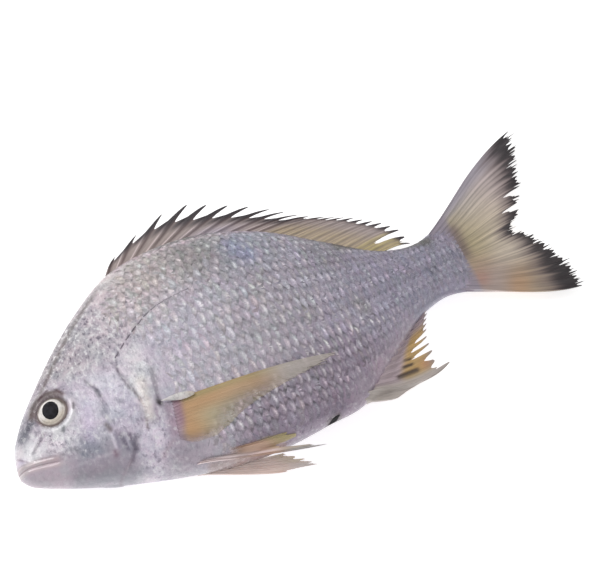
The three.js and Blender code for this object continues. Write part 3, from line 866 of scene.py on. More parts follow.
    def paint(self, x: Array, y: Array) -> tuple[Array, Array]:
        """Colours of the skin: zones, eye, lips, strokes, the back's ridge and the forehead's rim.

        Args:
            x: distance from the snout.
            y: height in the side view.

        Returns:
            Screen colours, and how mottled the skin is there.
        """
        colour, mottle = blend_zones(self.zones, x, y)
        colour, eye_calm = self.round_eye(colour, x, y)
        colour, lip_calm = self.lips(colour, x, y)
        for stroke in STROKES:
            colour = stroke.over(colour, x, y)
        colour = mix(colour, self.ridge_tone, 0.6 * bell(y - self.ridge(x), 1.6) * smooth(84, 92, x))
        above = y - self.forehead(x)
        brink = smooth(-1.8, 0.6, above) * smooth(14, 22, x) * (1.0 - smooth(66, 84, x))
        top = smooth(0.8, 2.8, above)
        colour = mix(colour, self.brink_tone, (0.85 - 0.6 * top) * brink)
        mottle = mottle * (1.0 - eye_calm) * (1.0 - lip_calm) * (1.0 - 0.6 * brink * (1.0 - top))
        return mix(colour, self.tail_root, smooth(-2.5, 0.5, self.past_flesh(x, y))), mottle


@dataclass(frozen=True)
class HeadRelief:
    """How far the bones, lips and pits of the head stand out of the smooth body."""

    paint: SkinPaint
    gill_step: float = 0.85
    cheek_step: float = 0.4
    socket_radius: float = 8.1
    socket_depth: float = 2.6
    brow_height: float = 0.7
    brow_radius: float = 10.3
    lip_height: float = 0.45
    mouth_depth: float = 0.4
    jaw_height: float = 0.6
    groove_depth: float = 0.45
    girdle_height: float = 0.8
    pit_depth: float = 1.2
    pit_rim: float = 0.25
    pit_stretch: float = 1.3  # how much taller than wide a nostril is
    jaw_bone: Line = Line((10.0, -4.6), (20.5, -9.5), 2.4)
    girdle: Line = Line((71.4, 2.0), (68.6, -14.0), 3.0)
    nostrils: tuple[tuple[float, float, float], ...] = ((12.6, 11.5, 0.8), (15.6, 13.2, 1.2))

    def height(self, x: Array, y: Array) -> Array:
        """Relief in millimetres at points of the side view.

        Plates rise towards their rear edge and drop behind it; the brow is a raised ring;
        the lips are two bell-shaped beads beside the mouth's groove; pits are bells.

        Args:
            x: distance from the snout.
            y: height in the side view.

        Returns:
            Heights along the skin's normal.
        """
        p = self.paint
        gill = self.plate(x - p.gill_edge(y), self.gill_step, 20.0)
        gill = gill * smooth(-37, -28, y) * (1.0 - smooth(18, 28, y))
        cheek = self.plate(x - p.cheek_edge(y), self.cheek_step, 12.0)
        cheek = cheek * smooth(-28, -20, y) * (1.0 - smooth(10, 18, y))
        from_eye = np.hypot(x - p.eye[0], y - p.eye[1])
        relief = gill + cheek + self.brow_height * bell(from_eye - self.brow_radius, 2.0)
        socket = 1.0 - smooth(self.socket_radius - 0.9, self.socket_radius, from_eye)
        relief = relief - self.socket_depth * socket
        off = y - p.mouth(x)
        near = 1.0 - smooth(16.0, 20.0, x)
        relief = relief + self.lip_height * near * (bell(off - 1.5, 1.0) + bell(off + 1.5, 1.1))
        relief = relief - self.mouth_depth * near * bell(off, 0.45)
        relief = relief + self.jaw_height * self.jaw_bone.near(x, y)
        relief = relief - self.groove_depth * SNOUT_GROOVE.near(x, y)
        relief = relief + self.girdle_height * self.girdle.near(x, y)
        for at_x, at_y, radius in self.nostrils:
            far = np.hypot(x - at_x, (y - at_y) / self.pit_stretch)
            rim = self.pit_rim * bell(far - 1.7 * radius, 0.4 * radius)
            relief = relief - self.pit_depth * bell(far, radius) + rim
        return relief

    @staticmethod
    def plate(past: Array, step: float, fade: float) -> Array:
        """A plate's height: full at its edge, thinning out forwards over the fade."""
        return step * (1.0 - smooth(-0.6, 1.4, past)) * smooth(-fade, -2.0, past)


@dataclass
class Skin:
    """The whole skin from the snout to the tail root, with the head's relief."""

    body: BodyShape
    paint: SkinPaint
    relief: HeadRelief
    ring_points: int = 240
    head_end: float = 78.0
    head_step: float = 0.42
    body_step: float = 1.4
    blunt_rings: int = 14

    def stations(self) -> Array:
        """Stations along the body: finest on the snout, fine on the head, wider behind."""
        b = self.body
        blunt_end = b.snout + b.nose_radius
        turn = np.arange(1, self.blunt_rings) * (math.pi / 2) / self.blunt_rings
        nose = blunt_end - b.nose_radius * np.cos(turn)
        head = np.linspace(blunt_end, self.head_end, round((self.head_end - blunt_end) / self.head_step))
        rear = np.linspace(self.head_end, b.end, round((b.end - self.head_end) / self.body_step))
        return np.concatenate([nose, head, rear[1:]])

    def surface(self) -> Surface:
        """The skin as rings of points, closed by a point at the snout and at the tail.

        Each point of the smooth body moves along its normal by the relief, and is kept
        above the table.

        Returns:
            The surface, coloured as bare skin.
        """
        x = self.stations()[:, None]
        angle = (2 * math.pi * np.arange(self.ring_points) / self.ring_points)[None, :]
        smooth_skin = self.body.skin(x, angle)
        along = np.gradient(smooth_skin, axis=0)
        round_it = np.roll(smooth_skin, -1, axis=1) - np.roll(smooth_skin, 1, axis=1)
        normal = unit(np.cross(along, round_it))
        outward = np.sign((normal[..., 2] * np.sin(angle)).sum())
        x2, y2 = smooth_skin[..., 0], smooth_skin[..., 1]
        out = np.abs(smooth_skin[..., 2] - self.body.middle(x2))
        height = self.relief.height(x2, y2) * np.clip(out / 4.0, 0.0, 1.0)
        points = smooth_skin + outward * normal * height[..., None]
        points[..., 2] = np.maximum(points[..., 2], 0.0)
        colour, mottle = self.paint.paint(x2, y2)
        b = self.body
        ends = np.array([
            [b.snout, b.nose_level, float(b.middle(b.snout))],
            [b.end + 1.0, float(b.section(b.end).widest), float(b.middle(b.end))],
        ])
        colours = rgba(colour, mottle)
        return Surface(
            np.vstack([points.reshape(-1, 3), ends]),
            *capped_rings(*points.shape[:2]),
            np.vstack([colours, colours[0], colours[-1]]),
        )

    def make(self, pose: Pose, material: bpy.types.Material) -> None:
        """Makes the skin's piece."""
        self.surface().make("skin", pose, material, Slot.SKIN, "fish")


@dataclass(frozen=True)
class FlankTable:
    """A flank sampled by station and by share of the distance over the skin.

    The shares run from -1 at the belly over 0 at the thickest line to 1 at the back.
    """

    stations: Array
    points: Array
    up: Array  # length over the skin from the thickest line to the back at each station
    down: Array  # the same to the belly

    def read(self, grid: Array, x: Array, share: Array) -> Array:
        """Reads a grid of vectors at stations and shares, straight between its entries."""
        first, second = self.stations[:2]
        u = np.clip((x - first) / (second - first), 0, len(self.stations) - 1.001)
        v = np.clip((share + 1.0) * 0.5 * (grid.shape[1] - 1), 0, grid.shape[1] - 1.001)
        i, j = u.astype(int), v.astype(int)
        s, t = (u - i)[..., None], (v - j)[..., None]
        low = grid[i, j] * (1 - t) + grid[i, j + 1] * t
        high = grid[i + 1, j] * (1 - t) + grid[i + 1, j + 1] * t
        return low * (1 - s) + high * s

    def share(self, x: Array, arc: Array) -> Array:
        """Signed lengths over the skin as shares of the whole length up or down."""
        up, down = np.interp(x, self.stations, self.up), np.interp(x, self.stations, self.down)
        return np.where(arc > 0, arc / up, arc / down)


@dataclass
class ScaleCoat:
    """Overlapping scales in staggered rows along one flank.

    A row keeps a set distance from the thickest line, measured over the skin and shrunk
    with the body's depth. Each scale is a thin closed tile whose rear edge stands proud.
    Near the bare skin of the head and along the belly the tiles sink into the skin.
    """

    body: BodyShape
    paint: SkinPaint
    flank: Flank
    row_pitch: float = 7.2
    crowding: float = 0.03
    rows_up: int = 14
    rows_down: int = 10
    full_depth: float = 124.0
    shrink: float = 0.5
    overlap: float = 1.9
    lift_front: float = -0.3
    lift_rear: float = 0.15
    emerge: float = 10.0
    sink: float = 0.5
    edge_share: float = 0.985
    tile_width: float = 0.98
    front_width: float = 0.82
    rear_curve: float = 0.3
    root_depth: float = 1.1
    size_spread: float = 0.05
    slide_spread: float = 0.25
    glint: Colour = (242, 238, 233)
    bright_row: Line = Line((156.0, -18.0), (212.0, -10.6), 1.7)
    across_points: int = 7
    along_points: tuple[float, ...] = (0.0, 0.4, 0.6, 0.74, 0.87, 1.0)
    pitch: Profile = Profile(((60, 4.5), (145, 4.4), (180, 3.3), (225, 3.0), (252, 2.8)))
    start: Profile = Profile((
        (-52, 92), (-44, 84), (-34, 78), (-25, 75), (-12, 74), (0, 75), (12, 76), (24, 74),
        (36, 66), (46, 62), (56, 68), (66, 78), (75, 88),
    ))

    def table(self) -> FlankTable:
        """Samples the flank from behind the eye to the tail root.

        Returns:
            The stations, the points at even shares, and the lengths up and down.
        """
        stations = np.linspace(45.0, self.body.end, 300)
        angle = np.linspace(0.0, math.pi, 241)
        points = self.body.skin(stations[:, None], angle[None, :])
        step = np.linalg.norm(np.diff(points, axis=1), axis=-1)
        run = np.concatenate([np.zeros((len(stations), 1)), np.cumsum(step, axis=1)], axis=1)
        middle = run[:, [120]]
        up, down = middle[:, 0], run[:, -1] - middle[:, 0]
        share = np.where(run <= middle, (middle - run) / up[:, None], (middle - run) / down[:, None])
        levels = np.linspace(-1.0, 1.0, 201)
        even = np.empty((len(stations), len(levels), 3))
        for i, row in enumerate(share):
            for axis in range(3):
                even[i, :, axis] = np.interp(levels, row[::-1], points[i, ::-1, axis])
        return FlankTable(stations, even, up, down)

    def lattice(self) -> tuple[Array, Array]:
        """Places of the scales: rows crowd together towards the back and the belly.

        Returns:
            Station of each rear edge, and row distance before shrinking.
        """
        fine = np.linspace(45.0, self.body.end + 2.0, 2000)
        count = np.concatenate([[0.0], np.cumsum(np.diff(fine) / self.pitch(fine[1:]))])
        rows = np.arange(-self.rows_down, self.rows_up + 1)
        slots = np.arange(0, int(count[-1]))
        row, slot = np.meshgrid(rows, slots, indexing="ij")
        number = slot + 0.5 * (row % 2)
        x = np.interp(number, count, fine)
        q = self.row_pitch * (row - 0.5 * self.crowding * row * np.abs(row))
        return x.ravel(), q.ravel()

    def arc(self, x: Array, distance: Array) -> Array:
        """Row distances shrunk with the body's depth at stations."""
        section = self.body.section(x)
        return distance * ((section.top - section.bottom) / self.full_depth) ** self.shrink

    def chosen(self, table: FlankTable) -> tuple[Array, Array, Array, Array]:
        """The scales that lie on the scaled part of the flank.

        Args:
            table: the sampled flank.

        Returns:
            Station, row distance and length of each scale, and how far it has come out
            of the bare skin of the head and the belly.
        """
        x, q = self.lattice()
        share = table.share(x, self.arc(x, q))
        level = table.read(table.points, x, np.clip(share, -1, 1))[:, 1]
        length = self.overlap * self.pitch(x)
        behind = x - 0.6 * length - self.start(level)
        inside = (np.abs(share) < self.edge_share) & (behind > 0) & (self.paint.past_flesh(x, level) < 0)
        x, q, length, share, behind = (v[inside] for v in (x, q, length, share, behind))
        ebb = 0.8 - 0.16 * smooth(150, 180, x)
        out = smooth(0.0, self.emerge, behind) * (1.0 - smooth(ebb, ebb + 0.16, -share))
        return x, q, length, out

    def surface(self) -> Surface:
        """All scales of the flank as one joined surface.

        A tile's half width is nearly a row pitch and its length is the overlap times the
        pitch; its rear edge is a parabola. Its height grows evenly from front to rear, so
        a scale always lies on the ones behind it.

        Returns:
            The joined surface, coloured and with a texture place on each tile.
        """
        random = draws(self.flank.value)
        table = self.table()
        even, stations = table.points, table.stations
        normals = unit(np.cross(np.gradient(even, axis=0), np.gradient(even, axis=1)))
        normals *= np.sign(normals[..., 2].sum())
        x, q, length, out = self.chosen(table)
        n = len(x)
        across = np.linspace(-1.0, 1.0, self.across_points)
        along = np.array(self.along_points)
        b, a = np.meshgrid(along, across, indexing="ij")
        a, b = a.ravel()[None, :], b.ravel()[None, :]
        size = 1.0 + self.size_spread * random.standard_normal((n, 1)).clip(-2, 2)
        slide = self.slide_spread * random.standard_normal((n, 1)).clip(-2, 2)
        back = length[:, None] * size * (1.0 - b * (1.0 - self.rear_curve * a * a)) - slide
        px = np.clip(x[:, None] - back, stations[0], stations[-1])
        row = q[:, None]
        width = self.tile_width * self.row_pitch * size * (1.0 - self.crowding * np.abs(row) / self.row_pitch)
        distance = row + a * width * (self.front_width + (1.0 - self.front_width) * b)
        share = np.clip(table.share(px, self.arc(px, distance)), -1.0, 1.0)
        base = table.read(even, px, share)
        normal = unit(table.read(normals, px, share))
        tilt = random.standard_normal((n, 2)).clip(-2, 2)
        rise = self.lift_front + (self.lift_rear - self.lift_front) * b
        lean = (0.04 * tilt[:, :1] * a + 0.02 * tilt[:, 1:]) * b
        scale_size = (length / (self.overlap * 4.4))[:, None]
        height = (rise + lean) * (0.4 + 0.6 * scale_size)
        height = height - self.sink * (1.0 - out[:, None])
        points = base + normal * height[..., None]
        centre = base.mean(axis=1) - normal.mean(axis=1) * self.root_depth
        colour = self.colours(points, a, b, q, random)
        points, centre = self.settle(points, height), self.settle(centre, np.full(n, -1.0))
        rows, columns = len(along), self.across_points
        per = rows * columns
        rim = grid_rim(rows, columns)
        fan = np.column_stack([rim, np.full(len(rim), per), np.roll(rim, -1)])
        offset = (np.arange(n) * (per + 1))[:, None, None]
        vertices = np.concatenate([points, centre[:, None, :]], axis=1).reshape(-1, 3)
        quads = (grid_quads(rows, columns) + offset).reshape(-1, 4)
        triangles = (fan + offset).reshape(-1, 3)
        place = np.column_stack([np.append((a[0] + 1) / 2, 0.5), np.append(b[0], 0.5)])
        # painted shade: the hidden underside of each tile, seen only in the gap under its rim, gets 0.6 of
        # the tile's mean colour
        dark = np.concatenate([colour, colour.mean(axis=1, keepdims=True) * 0.6], axis=1)
        tint = rgba(dark, np.ones(dark.shape[:-1]))
        return Surface(vertices, quads, triangles, tint, np.tile(place, (n, 1)))

    def settle(self, points: Array, height: Array) -> Array:
        """Mirrors points to the right flank if needed and keeps them above the table."""
        if self.flank is Flank.RIGHT:
            points = points.copy()
            points[..., 2] = 2 * self.body.middle(points[..., 0]) - points[..., 2]
            floor = 0.05 + 0.12 * (0.6 - np.clip(height, -0.4, 0.6))
            points[..., 2] = np.maximum(points[..., 2], floor)
        return points

    def colours(self, points: Array, a: Array, b: Array, q: Array, random: np.random.Generator) -> Array:
        """Screen colours of the tiles' points.

        The skin's own tone, jittered for each scale, with a painted highlight across the open part of the
        scale: a pale stroke, also pulled towards the glint colour; painted shade in two dark marks beside it,
        where the neighbours meet; and painted shadow at its front, under the edge of the scale ahead.
        Highlight and shade are of random strength. The painted highlights are brightest along one row,
        and the pattern fades towards the belly.

        Args:
            points: tile points in fish millimetres.
            a: place across the tile from -1 to 1.
            b: place along the tile from 0 to 1.
            q: each tile's row distance, which gives the rows behind the middle their stripes.
            random: the flank's random source.

        Returns:
            Colours, one for each point.
        """
        n = len(points)
        x, y = points[..., 0], points[..., 1]
        tone, _ = self.paint.paint(x, y)
        jitter = 1.0 + 0.02 * random.standard_normal((n, 1, 1)).clip(-2, 2)
        hue = 1.0 + 0.01 * random.standard_normal((n, 1, 3)).clip(-2, 2)
        shift = 0.16 * random.standard_normal((n, 1)).clip(-2, 2)
        highlight_strength, shade_strength = random.uniform(0.5, 1.5, (n, 1)), random.uniform(0.5, 1.5, (n, 1))
        reach = 0.46 - 0.16 * smooth(150, 200, x) - 0.14 * smooth(22, 40, y)
        # painted highlight: a pale stroke across the open part of each scale, of random strength
        stroke = highlight_strength * bell(b - 0.87, 0.09) * bell(a - shift, reach)
        stroke = stroke * (1.0 + 1.3 * self.bright_row.near(x, y))
        # painted shade: dark marks beside the stroke, where the neighbouring scales meet
        spot = shade_strength * bell(np.abs(a) - 0.62, 0.24) * bell(b - 0.9, 0.16)
        # painted shadow: darker towards the front of the scale, under the rear edge of the scale ahead
        front = 1.0 - smooth(0.5, 0.7, b)
        grain = (0.02 + 0.05 * smooth(15, 40, y)) * random.standard_normal((n, b.size))
        pattern = (0.14 * stroke - 0.2 * spot - 0.08 * front) * (1.0 - 0.5 * smooth(170, 225, x)) + grain
        pattern = pattern + 0.07 * np.sin(2.4 * q)[:, None] * smooth(120, 180, x)
        pattern = pattern * (1.0 + 0.5 * smooth(-12, -22, y) * (1.0 - smooth(150, 175, x)))
        pattern = pattern * (1.0 - 0.4 * bell(np.hypot(x - 102.0, y - 12.0), 24.0))
        full = 0.25 + 0.75 * smooth(2.0, 16.0, y - self.body.section(x).bottom)
        # the painted highlight also pulls the colour towards the pale glint colour
        pale = 0.36 * stroke * full * (1.0 - 0.5 * smooth(170, 225, x))
        tone = mix(tone, self.glint, pale.clip(0, 0.8))
        return tone * jitter * hue * (0.97 + pattern * full)[..., None]

    def make(self, pose: Pose, material: bpy.types.Material) -> None:
        """Makes the piece of the flank's scales."""
        name = f"scales_{self.flank.name.lower()}"
        self.surface().make(name, pose, material, Slot.SKIN, "fish", crease=35.0)


def beads(centres: Array, axes: Array, rings: int, around: int) -> tuple[Array, Array, Array, Array]:
    """Closed pods of an ellipsoid's form, as one joined mesh.

    Args:
        centres: middle of each pod.
        axes: three half axes of each pod as rows: along, across and out.
        rings: rings between the two ends.
        around: points in a ring.

    Returns:
        Points by pod, quads, triangles, and each point's share along the pod from -1 to 1.
    """
    polar = math.pi * np.arange(1, rings + 1)[:, None] / (rings + 1)
    turn = 2 * math.pi * np.arange(around)[None, :] / around
    ring = [np.cos(polar) + 0 * turn, np.sin(polar) * np.cos(turn), np.sin(polar) * np.sin(turn)]
    local = np.vstack([np.stack(ring, axis=-1).reshape(-1, 3), [[1, 0, 0], [-1, 0, 0]]])
    points = centres[:, None, :] + np.einsum("pk,nkd->npd", local, axes)
    quads, caps = capped_rings(rings, around)
    offset = (np.arange(len(centres)) * len(local))[:, None, None]
    return points, (quads + offset).reshape(-1, 4), (caps + offset).reshape(-1, 3), local[:, 0]


@dataclass
class LateralLine:
    """The sensory line of a flank: a short raised tube on each scale along a curve."""

    body: BodyShape
    paint: SkinPaint
    flank: Flank
    start: float = 67.5
    end: float = 112.0
    fill: float = 0.46
    half_width: float = 0.34
    half_height: float = 0.45
    dark_end: float = 113.0
    dark_tone: Colour = (100, 96, 106)

    def surface(self) -> Surface:
        """Tubes that follow the line, dark in front and fading behind."""
        pitch = ScaleCoat.pitch
        x = [self.start]
        while x[-1] < self.end:
            x.append(x[-1] + float(pitch(x[-1])))
        x = np.array(x)
        along = unit(self.on_skin(x + 0.5) - self.on_skin(x - 0.5))
        up = self.on_skin(x, 0.5) - self.on_skin(x, -0.5)
        out = unit(np.cross(along, up)) * self.flank.value
        across = np.cross(out, along)
        half = self.fill * pitch(x)[:, None]
        axes = np.stack([along * half, across * self.half_width, out * self.half_height], axis=1)
        points, quads, triangles, _ = beads(self.on_skin(x) + 0.25 * out, axes, 5, 8)
        points[..., 2] = np.maximum(points[..., 2], 0.05)
        tone, _ = self.paint.paint(points[..., 0], points[..., 1])
        dark = 1.0 - smooth(self.dark_end - 40, self.dark_end, points[..., 0])
        uneven = draws(PORE_DRAWS).uniform(0.5, 0.95, (len(x), 1))
        tone = mix(tone, self.dark_tone, uneven * dark)
        return Surface(points.reshape(-1, 3), quads, triangles, rgba(tone, np.array(0.2)))

    def on_skin(self, x: Array, rise: float = 0.0) -> Array:
        """Points of the line on the flank, or a little above it in the side view."""
        y = self.paint.lateral(x) + rise
        z = self.body.middle(x) + self.flank.value * self.body.half_at(x, y)
        return np.stack([x, y, z], axis=-1)

    def make(self, pose: Pose, material: bpy.types.Material) -> None:
        """Makes the line's piece."""
        name = f"lateral_line_{self.flank.name.lower()}"
        self.surface().make(name, pose, material, Slot.SKIN, "fish")


@dataclass
class Pod:
    """A pointed pod on a flank, such as the pale scale over a chest fin's root."""

    body: BodyShape
    flank: Flank
    tip: tuple[float, float] = (75.9, -10.1)
    root: tuple[float, float] = (92.8, -13.8)
    half_width: float = 2.0
    half_height: float = 0.55
    lift: float = 2.1
    tone: Colour = (228, 222, 218)
    root_tone: Colour = (206, 196, 182)

    def surface(self) -> Surface:
        """A pod from tip to root, bent to the flank and narrowed towards its tip."""
        tip, root = np.array(self.tip), np.array(self.root)
        centre, along = (tip + root) / 2, (root - tip) / 2
        across = np.array([-along[1], along[0]]) / np.linalg.norm(along) * self.half_width
        axes = np.array([[[*along, 0], [*across, 0], [0, 0, self.half_height]]])
        points, quads, triangles, share = beads(np.array([[*centre, 0.0]]), axes, 15, 14)
        points = points[0]
        middle = centre + share[:, None] * along
        narrow = (0.35 + 0.65 * smooth(-1.0, 0.2, share))[:, None]
        points[:, :2] = middle + (points[:, :2] - middle) * narrow
        flank = self.body.half_at(points[:, 0], points[:, 1]) + self.lift
        points[:, 2] = self.body.middle(points[:, 0]) + self.flank.value * (flank + points[:, 2])
        points[:, 2] = np.maximum(points[:, 2], 0.05)
        tone = mix(plain(self.tone, share), self.root_tone, smooth(0.3, 1.0, share))
        return Surface(points, quads, triangles, rgba(tone, np.array(0.35)))

    def make(self, name: str, pose: Pose, material: bpy.types.Material) -> None:
        """Makes the pod's piece."""
        self.surface().make(name, pose, material, Slot.SKIN, "fish")


@dataclass
class Vent(Pod):
    """The dark vent in front of the anal fin."""

    tip: tuple[float, float] = (149.0, -50.3)
    root: tuple[float, float] = (156.2, -49.1)
    half_width: float = 0.5
    half_height: float = 0.45
    lift: float = -0.05


@dataclass
class Rays:
    """Fin rays: roots and tips in the side view, sideways bow, thickness, web and slits.

    The web is the share of the ray's length that the sheet reaches halfway to the next
    ray, and a slit is how much deeper it is torn there.
    """

    roots: Array
    tips: Array
    bow: Array
    thick: Array
    web: Array
    slit: Array

    @staticmethod
    def along(knots: Knots, share: Array) -> Array:
        """Points at shares of the length of a line of knots."""
        table = np.asarray(knots, float)
        run = np.concatenate([[0.0], np.cumsum(np.linalg.norm(np.diff(table, axis=0), axis=1))])
        at = np.asarray(share, float) * run[-1]
        return np.column_stack([np.interp(at, run, table[:, k]) for k in range(2)])


@dataclass
class FinPoint:
    """Places on a fin: between which rays, how far out, and where in the side view."""

    ray: Array
    gap: Array
    out: Array
    x: Array
    y: Array


@dataclass
class Fin:
    """A fan of bony rays joined by thin web, as one closed sheet.

    The ray number runs across and the share of the ray's length runs outwards. Halfway
    between two rays the web ends short of the tips, so the edge is toothed.
    """

    body: BodyShape
    columns: int = 10
    rows: int = 30
    root_half: float = 0.95
    tip_half: float = 0.3
    web_half: float = 0.16
    wave: float = 1.2
    wave_length: float = 70.0
    fold: float = 0.25
    fray: float = 0.02
    flesh: float = 0.0  # how much thicker the fleshy root is, as half thickness

    def rays(self) -> Rays:
        """The fin's rays."""
        raise NotImplementedError

    def colour(self, at: FinPoint) -> tuple[Array, Array]:
        """Screen colours and cover of the fin."""
        raise NotImplementedError

    def level(self, at: FinPoint, half: Array, side: int) -> Array:
        """Height of a face: the middle plane with a slight wave, plus the half thickness."""
        sway = self.wave * at.out * np.sin(2 * math.pi * (at.x + at.y) / self.wave_length)
        fold = self.fold * np.cos(2 * math.pi * at.ray) * smooth(0.05, 0.4, at.out)
        return self.body.middle(at.x) + sway + fold + side * half

    def reach(self, rays: Rays, ray: Array) -> Array:
        """Share of the rays' length that the sheet reaches at ray numbers.

        Args:
            rays: the fin's rays.
            ray: ray numbers, with the place between two rays as the fraction.

        Returns:
            The shares: 1 on a ray, less between rays, frayed by a random draw.
        """
        numbers = np.arange(len(rays.web))
        gap = 2.0 * np.abs(ray - np.round(ray))
        before = np.floor(ray)
        random = draws(len(numbers))
        ragged = self.fray * random.standard_normal(ray.shape) * smooth(0.2, 0.6, gap)
        notch = (1.0 - np.interp(before, numbers, rays.web)) * smooth(0.1, 0.75, gap)
        slit = np.interp(before, numbers, rays.slit) * smooth(0.62, 0.9, gap)
        return 1.0 - notch - slit + ragged

    def surface(self) -> Surface:
        """The closed sheet.

        A ray is a straight line from root to tip with a sideways bow of 6.75 t^2 (1 - t).
        The half thickness is the web's plus a bell over each ray that tapers outwards.

        Returns:
            The surface, coloured, with ray number and share outwards as texture place.
        """
        rays = self.rays()
        count = len(rays.roots)
        ray = np.linspace(0, count - 1, (count - 1) * self.columns + 1)[None, :]
        numbers = np.arange(count)

        def spread(values: Array) -> Array:
            """One value for each column, read between the rays."""
            return np.interp(ray[0], numbers, values)[None, :]

        gap = 2.0 * np.abs(ray - np.round(ray))
        reach = self.reach(rays, ray)
        t = np.linspace(0.0, 1.0, self.rows)[:, None] ** 0.9 * reach
        root = [spread(rays.roots[:, k]) for k in range(2)]
        tip = [spread(rays.tips[:, k]) for k in range(2)]
        dx, dy = tip[0] - root[0], tip[1] - root[1]
        bow = spread(rays.bow) * 6.75 * t * t * (1.0 - t) / np.hypot(dx, dy)
        x = root[0] + dx * t - dy * bow
        y = root[1] + dy * t + dx * bow
        at = FinPoint(np.broadcast_to(ray, x.shape), np.broadcast_to(gap, x.shape), t, x, y)
        bone = (self.root_half + (self.tip_half - self.root_half) * t) * bell(gap, 0.42)
        flesh = self.flesh * (1.0 - smooth(0.12, 0.4, t))
        half = (self.web_half + flesh + bone * spread(rays.thick)) * (1.0 - 0.6 * smooth(0.9, 1.0, t / reach))
        upper = np.stack([x, y, self.level(at, half, 1)], axis=-1)
        lower = np.stack([x, y, self.level(at, half, -1)], axis=-1)
        rows, columns = x.shape
        size = rows * columns
        quads = grid_quads(rows, columns)
        rim = grid_rim(rows, columns)
        after = np.roll(rim, -1)
        side = np.column_stack([rim, rim + size, after + size, after])
        colour, cover = self.colour(at)
        texture = np.column_stack([(at.ray / count).ravel(), at.out.ravel()])
        return Surface(
            np.vstack([upper.reshape(-1, 3), lower.reshape(-1, 3)]),
            np.vstack([quads, quads[:, ::-1] + size, side]),
            np.empty((0, 3), int),
            np.tile(rgba(colour, cover), (2, 1)),
            np.tile(texture, (2, 1)),
        )

    def make(self, name: str, pose: Pose, material: bpy.types.Material) -> None:
        """Makes the fin's piece."""
        self.surface().make(name, pose, material, Slot.FIN, "fish", crease=50.0)


@dataclass
class DorsalFin(Fin):
    """Back fin: folded back spines with dark tips in front, soft rays behind."""

    columns: int = 16
    start: float = 81.0
    spines: int = 11  # one for each of the spine tips
    spine_pitch: float = 7.6
    soft_rays: int = 11
    soft_pitch: float = 4.9
    sink: float = 3.0
    split_ray: int = 8
    notch_depth: float = 0.38
    web_rise: float = 0.18
    spine_tips: Knots = (
        (93.6, 78.2), (107.8, 84.6), (124.1, 88.6), (137.8, 87.4), (146.4, 83), (156, 78), (165, 73),
        (174, 67.4), (180, 63), (186, 58.6), (190, 56),
    )
    soft_tips: Knots = ((197.5, 52.4), (210, 46.6), (222.5, 37.8), (228.5, 31.5), (230.5, 21.8))
    web_tone: Colour = (178, 163, 159)
    web_shadow: Colour = (110, 92, 92)
    spine_tone: Colour = (242, 224, 224)
    tip_tone: Colour = (44, 38, 44)
    pale_tone: Colour = (198, 190, 208)
    pale_ray: float = 6.8
    soft_tone: Colour = (204, 186, 158)
    soft_outer: Colour = (192, 178, 176)
    soft_last: Colour = (206, 190, 132)
    soft_crease: Colour = (150, 134, 130)
    soft_edge: Colour = (62, 54, 60)

    def rays(self) -> Rays:
        """Spines spaced evenly on the ridge with a tip each, then soft rays."""
        front = self.start + self.spine_pitch * np.arange(self.spines)
        rear = front[-1] + self.soft_pitch * (1 + np.arange(self.soft_rays))
        x = np.concatenate([front, rear])
        tips = np.vstack([
            np.array(self.spine_tips, float),
            Rays.along(self.soft_tips, np.linspace(0, 1, self.soft_rays)),
        ])
        web = np.full(len(x), 0.84)
        web[self.spines + self.split_ray] = 0.45
        thick = np.concatenate([np.full(self.spines, 0.9), np.full(self.soft_rays, 0.7)])
        roots = np.column_stack([x - 1.0, self.body.back(x) - self.sink])
        return Rays(roots, tips, np.full(len(x), 1.0), thick, web, np.zeros(len(x)))

    def reach(self, rays: Rays, ray: Array) -> Array:
        """The web dips right behind a spine's free tip and rises to the next spine."""
        past = ray - np.floor(ray)
        web = 1.0 - self.notch_depth + self.web_rise * past
        spike = np.maximum(1.0 - smooth(0.02, 0.3, past), smooth(0.74, 1.0, past))
        front = web + (1.0 - web) * spike
        behind = smooth(self.spines - 1.2, self.spines - 0.8, ray)
        return front * (1.0 - behind) + super().reach(rays, ray) * behind

    def colour(self, at: FinPoint) -> tuple[Array, Array]:
        """Pinkish spines with painted highlight and shadow, black tips over brown-grey web, paler in the
        middle; a tan soft part.
        """
        past = at.ray - np.floor(at.ray)
        web = mix(plain(self.web_tone, at.x), self.web_shadow,
                  0.7 * bell(past - 0.2, 0.12) * smooth(0.12, 0.4, at.out))
        # pale streak beside each spine: partly the spine's own pinkish colour, partly painted highlight
        spine = mix(web, self.spine_tone, 0.9 * bell(past - 0.93, 0.1) * (1.0 - smooth(0.45, 0.75, at.out)))
        edge = at.out / (1.0 - self.notch_depth + self.web_rise * past)
        dark = smooth(0.62, 0.92, edge) * smooth(0.2, 0.7, past)
        dark = np.maximum(dark, smooth(0.4, 0.7, at.out) * bell(at.gap, 0.45))
        front = mix(spine, self.tip_tone, 0.92 * dark)
        pale = bell(at.ray - self.pale_ray, 1.6) * (1.0 - smooth(0.3, 0.62, at.out))
        front = mix(front, self.pale_tone, 0.6 * pale)
        soft = mix(plain(self.soft_tone, at.x), self.soft_outer, smooth(0.3, 0.7, at.out))
        soft = mix(soft, self.soft_last, 0.8 * smooth(-0.6, 0.4, at.ray - self.spines - self.split_ray))
        soft = mix(soft, self.soft_crease, 0.5 * bell(at.gap - 0.6, 0.3))
        soft = mix(soft, self.soft_edge, smooth(0.76, 0.98, at.out + 0.08 * bell(at.gap, 0.5)))
        colour = mix(front, soft, smooth(self.spines - 1.2, self.spines + 0.5, at.ray))
        return colour, np.ones(at.x.shape)


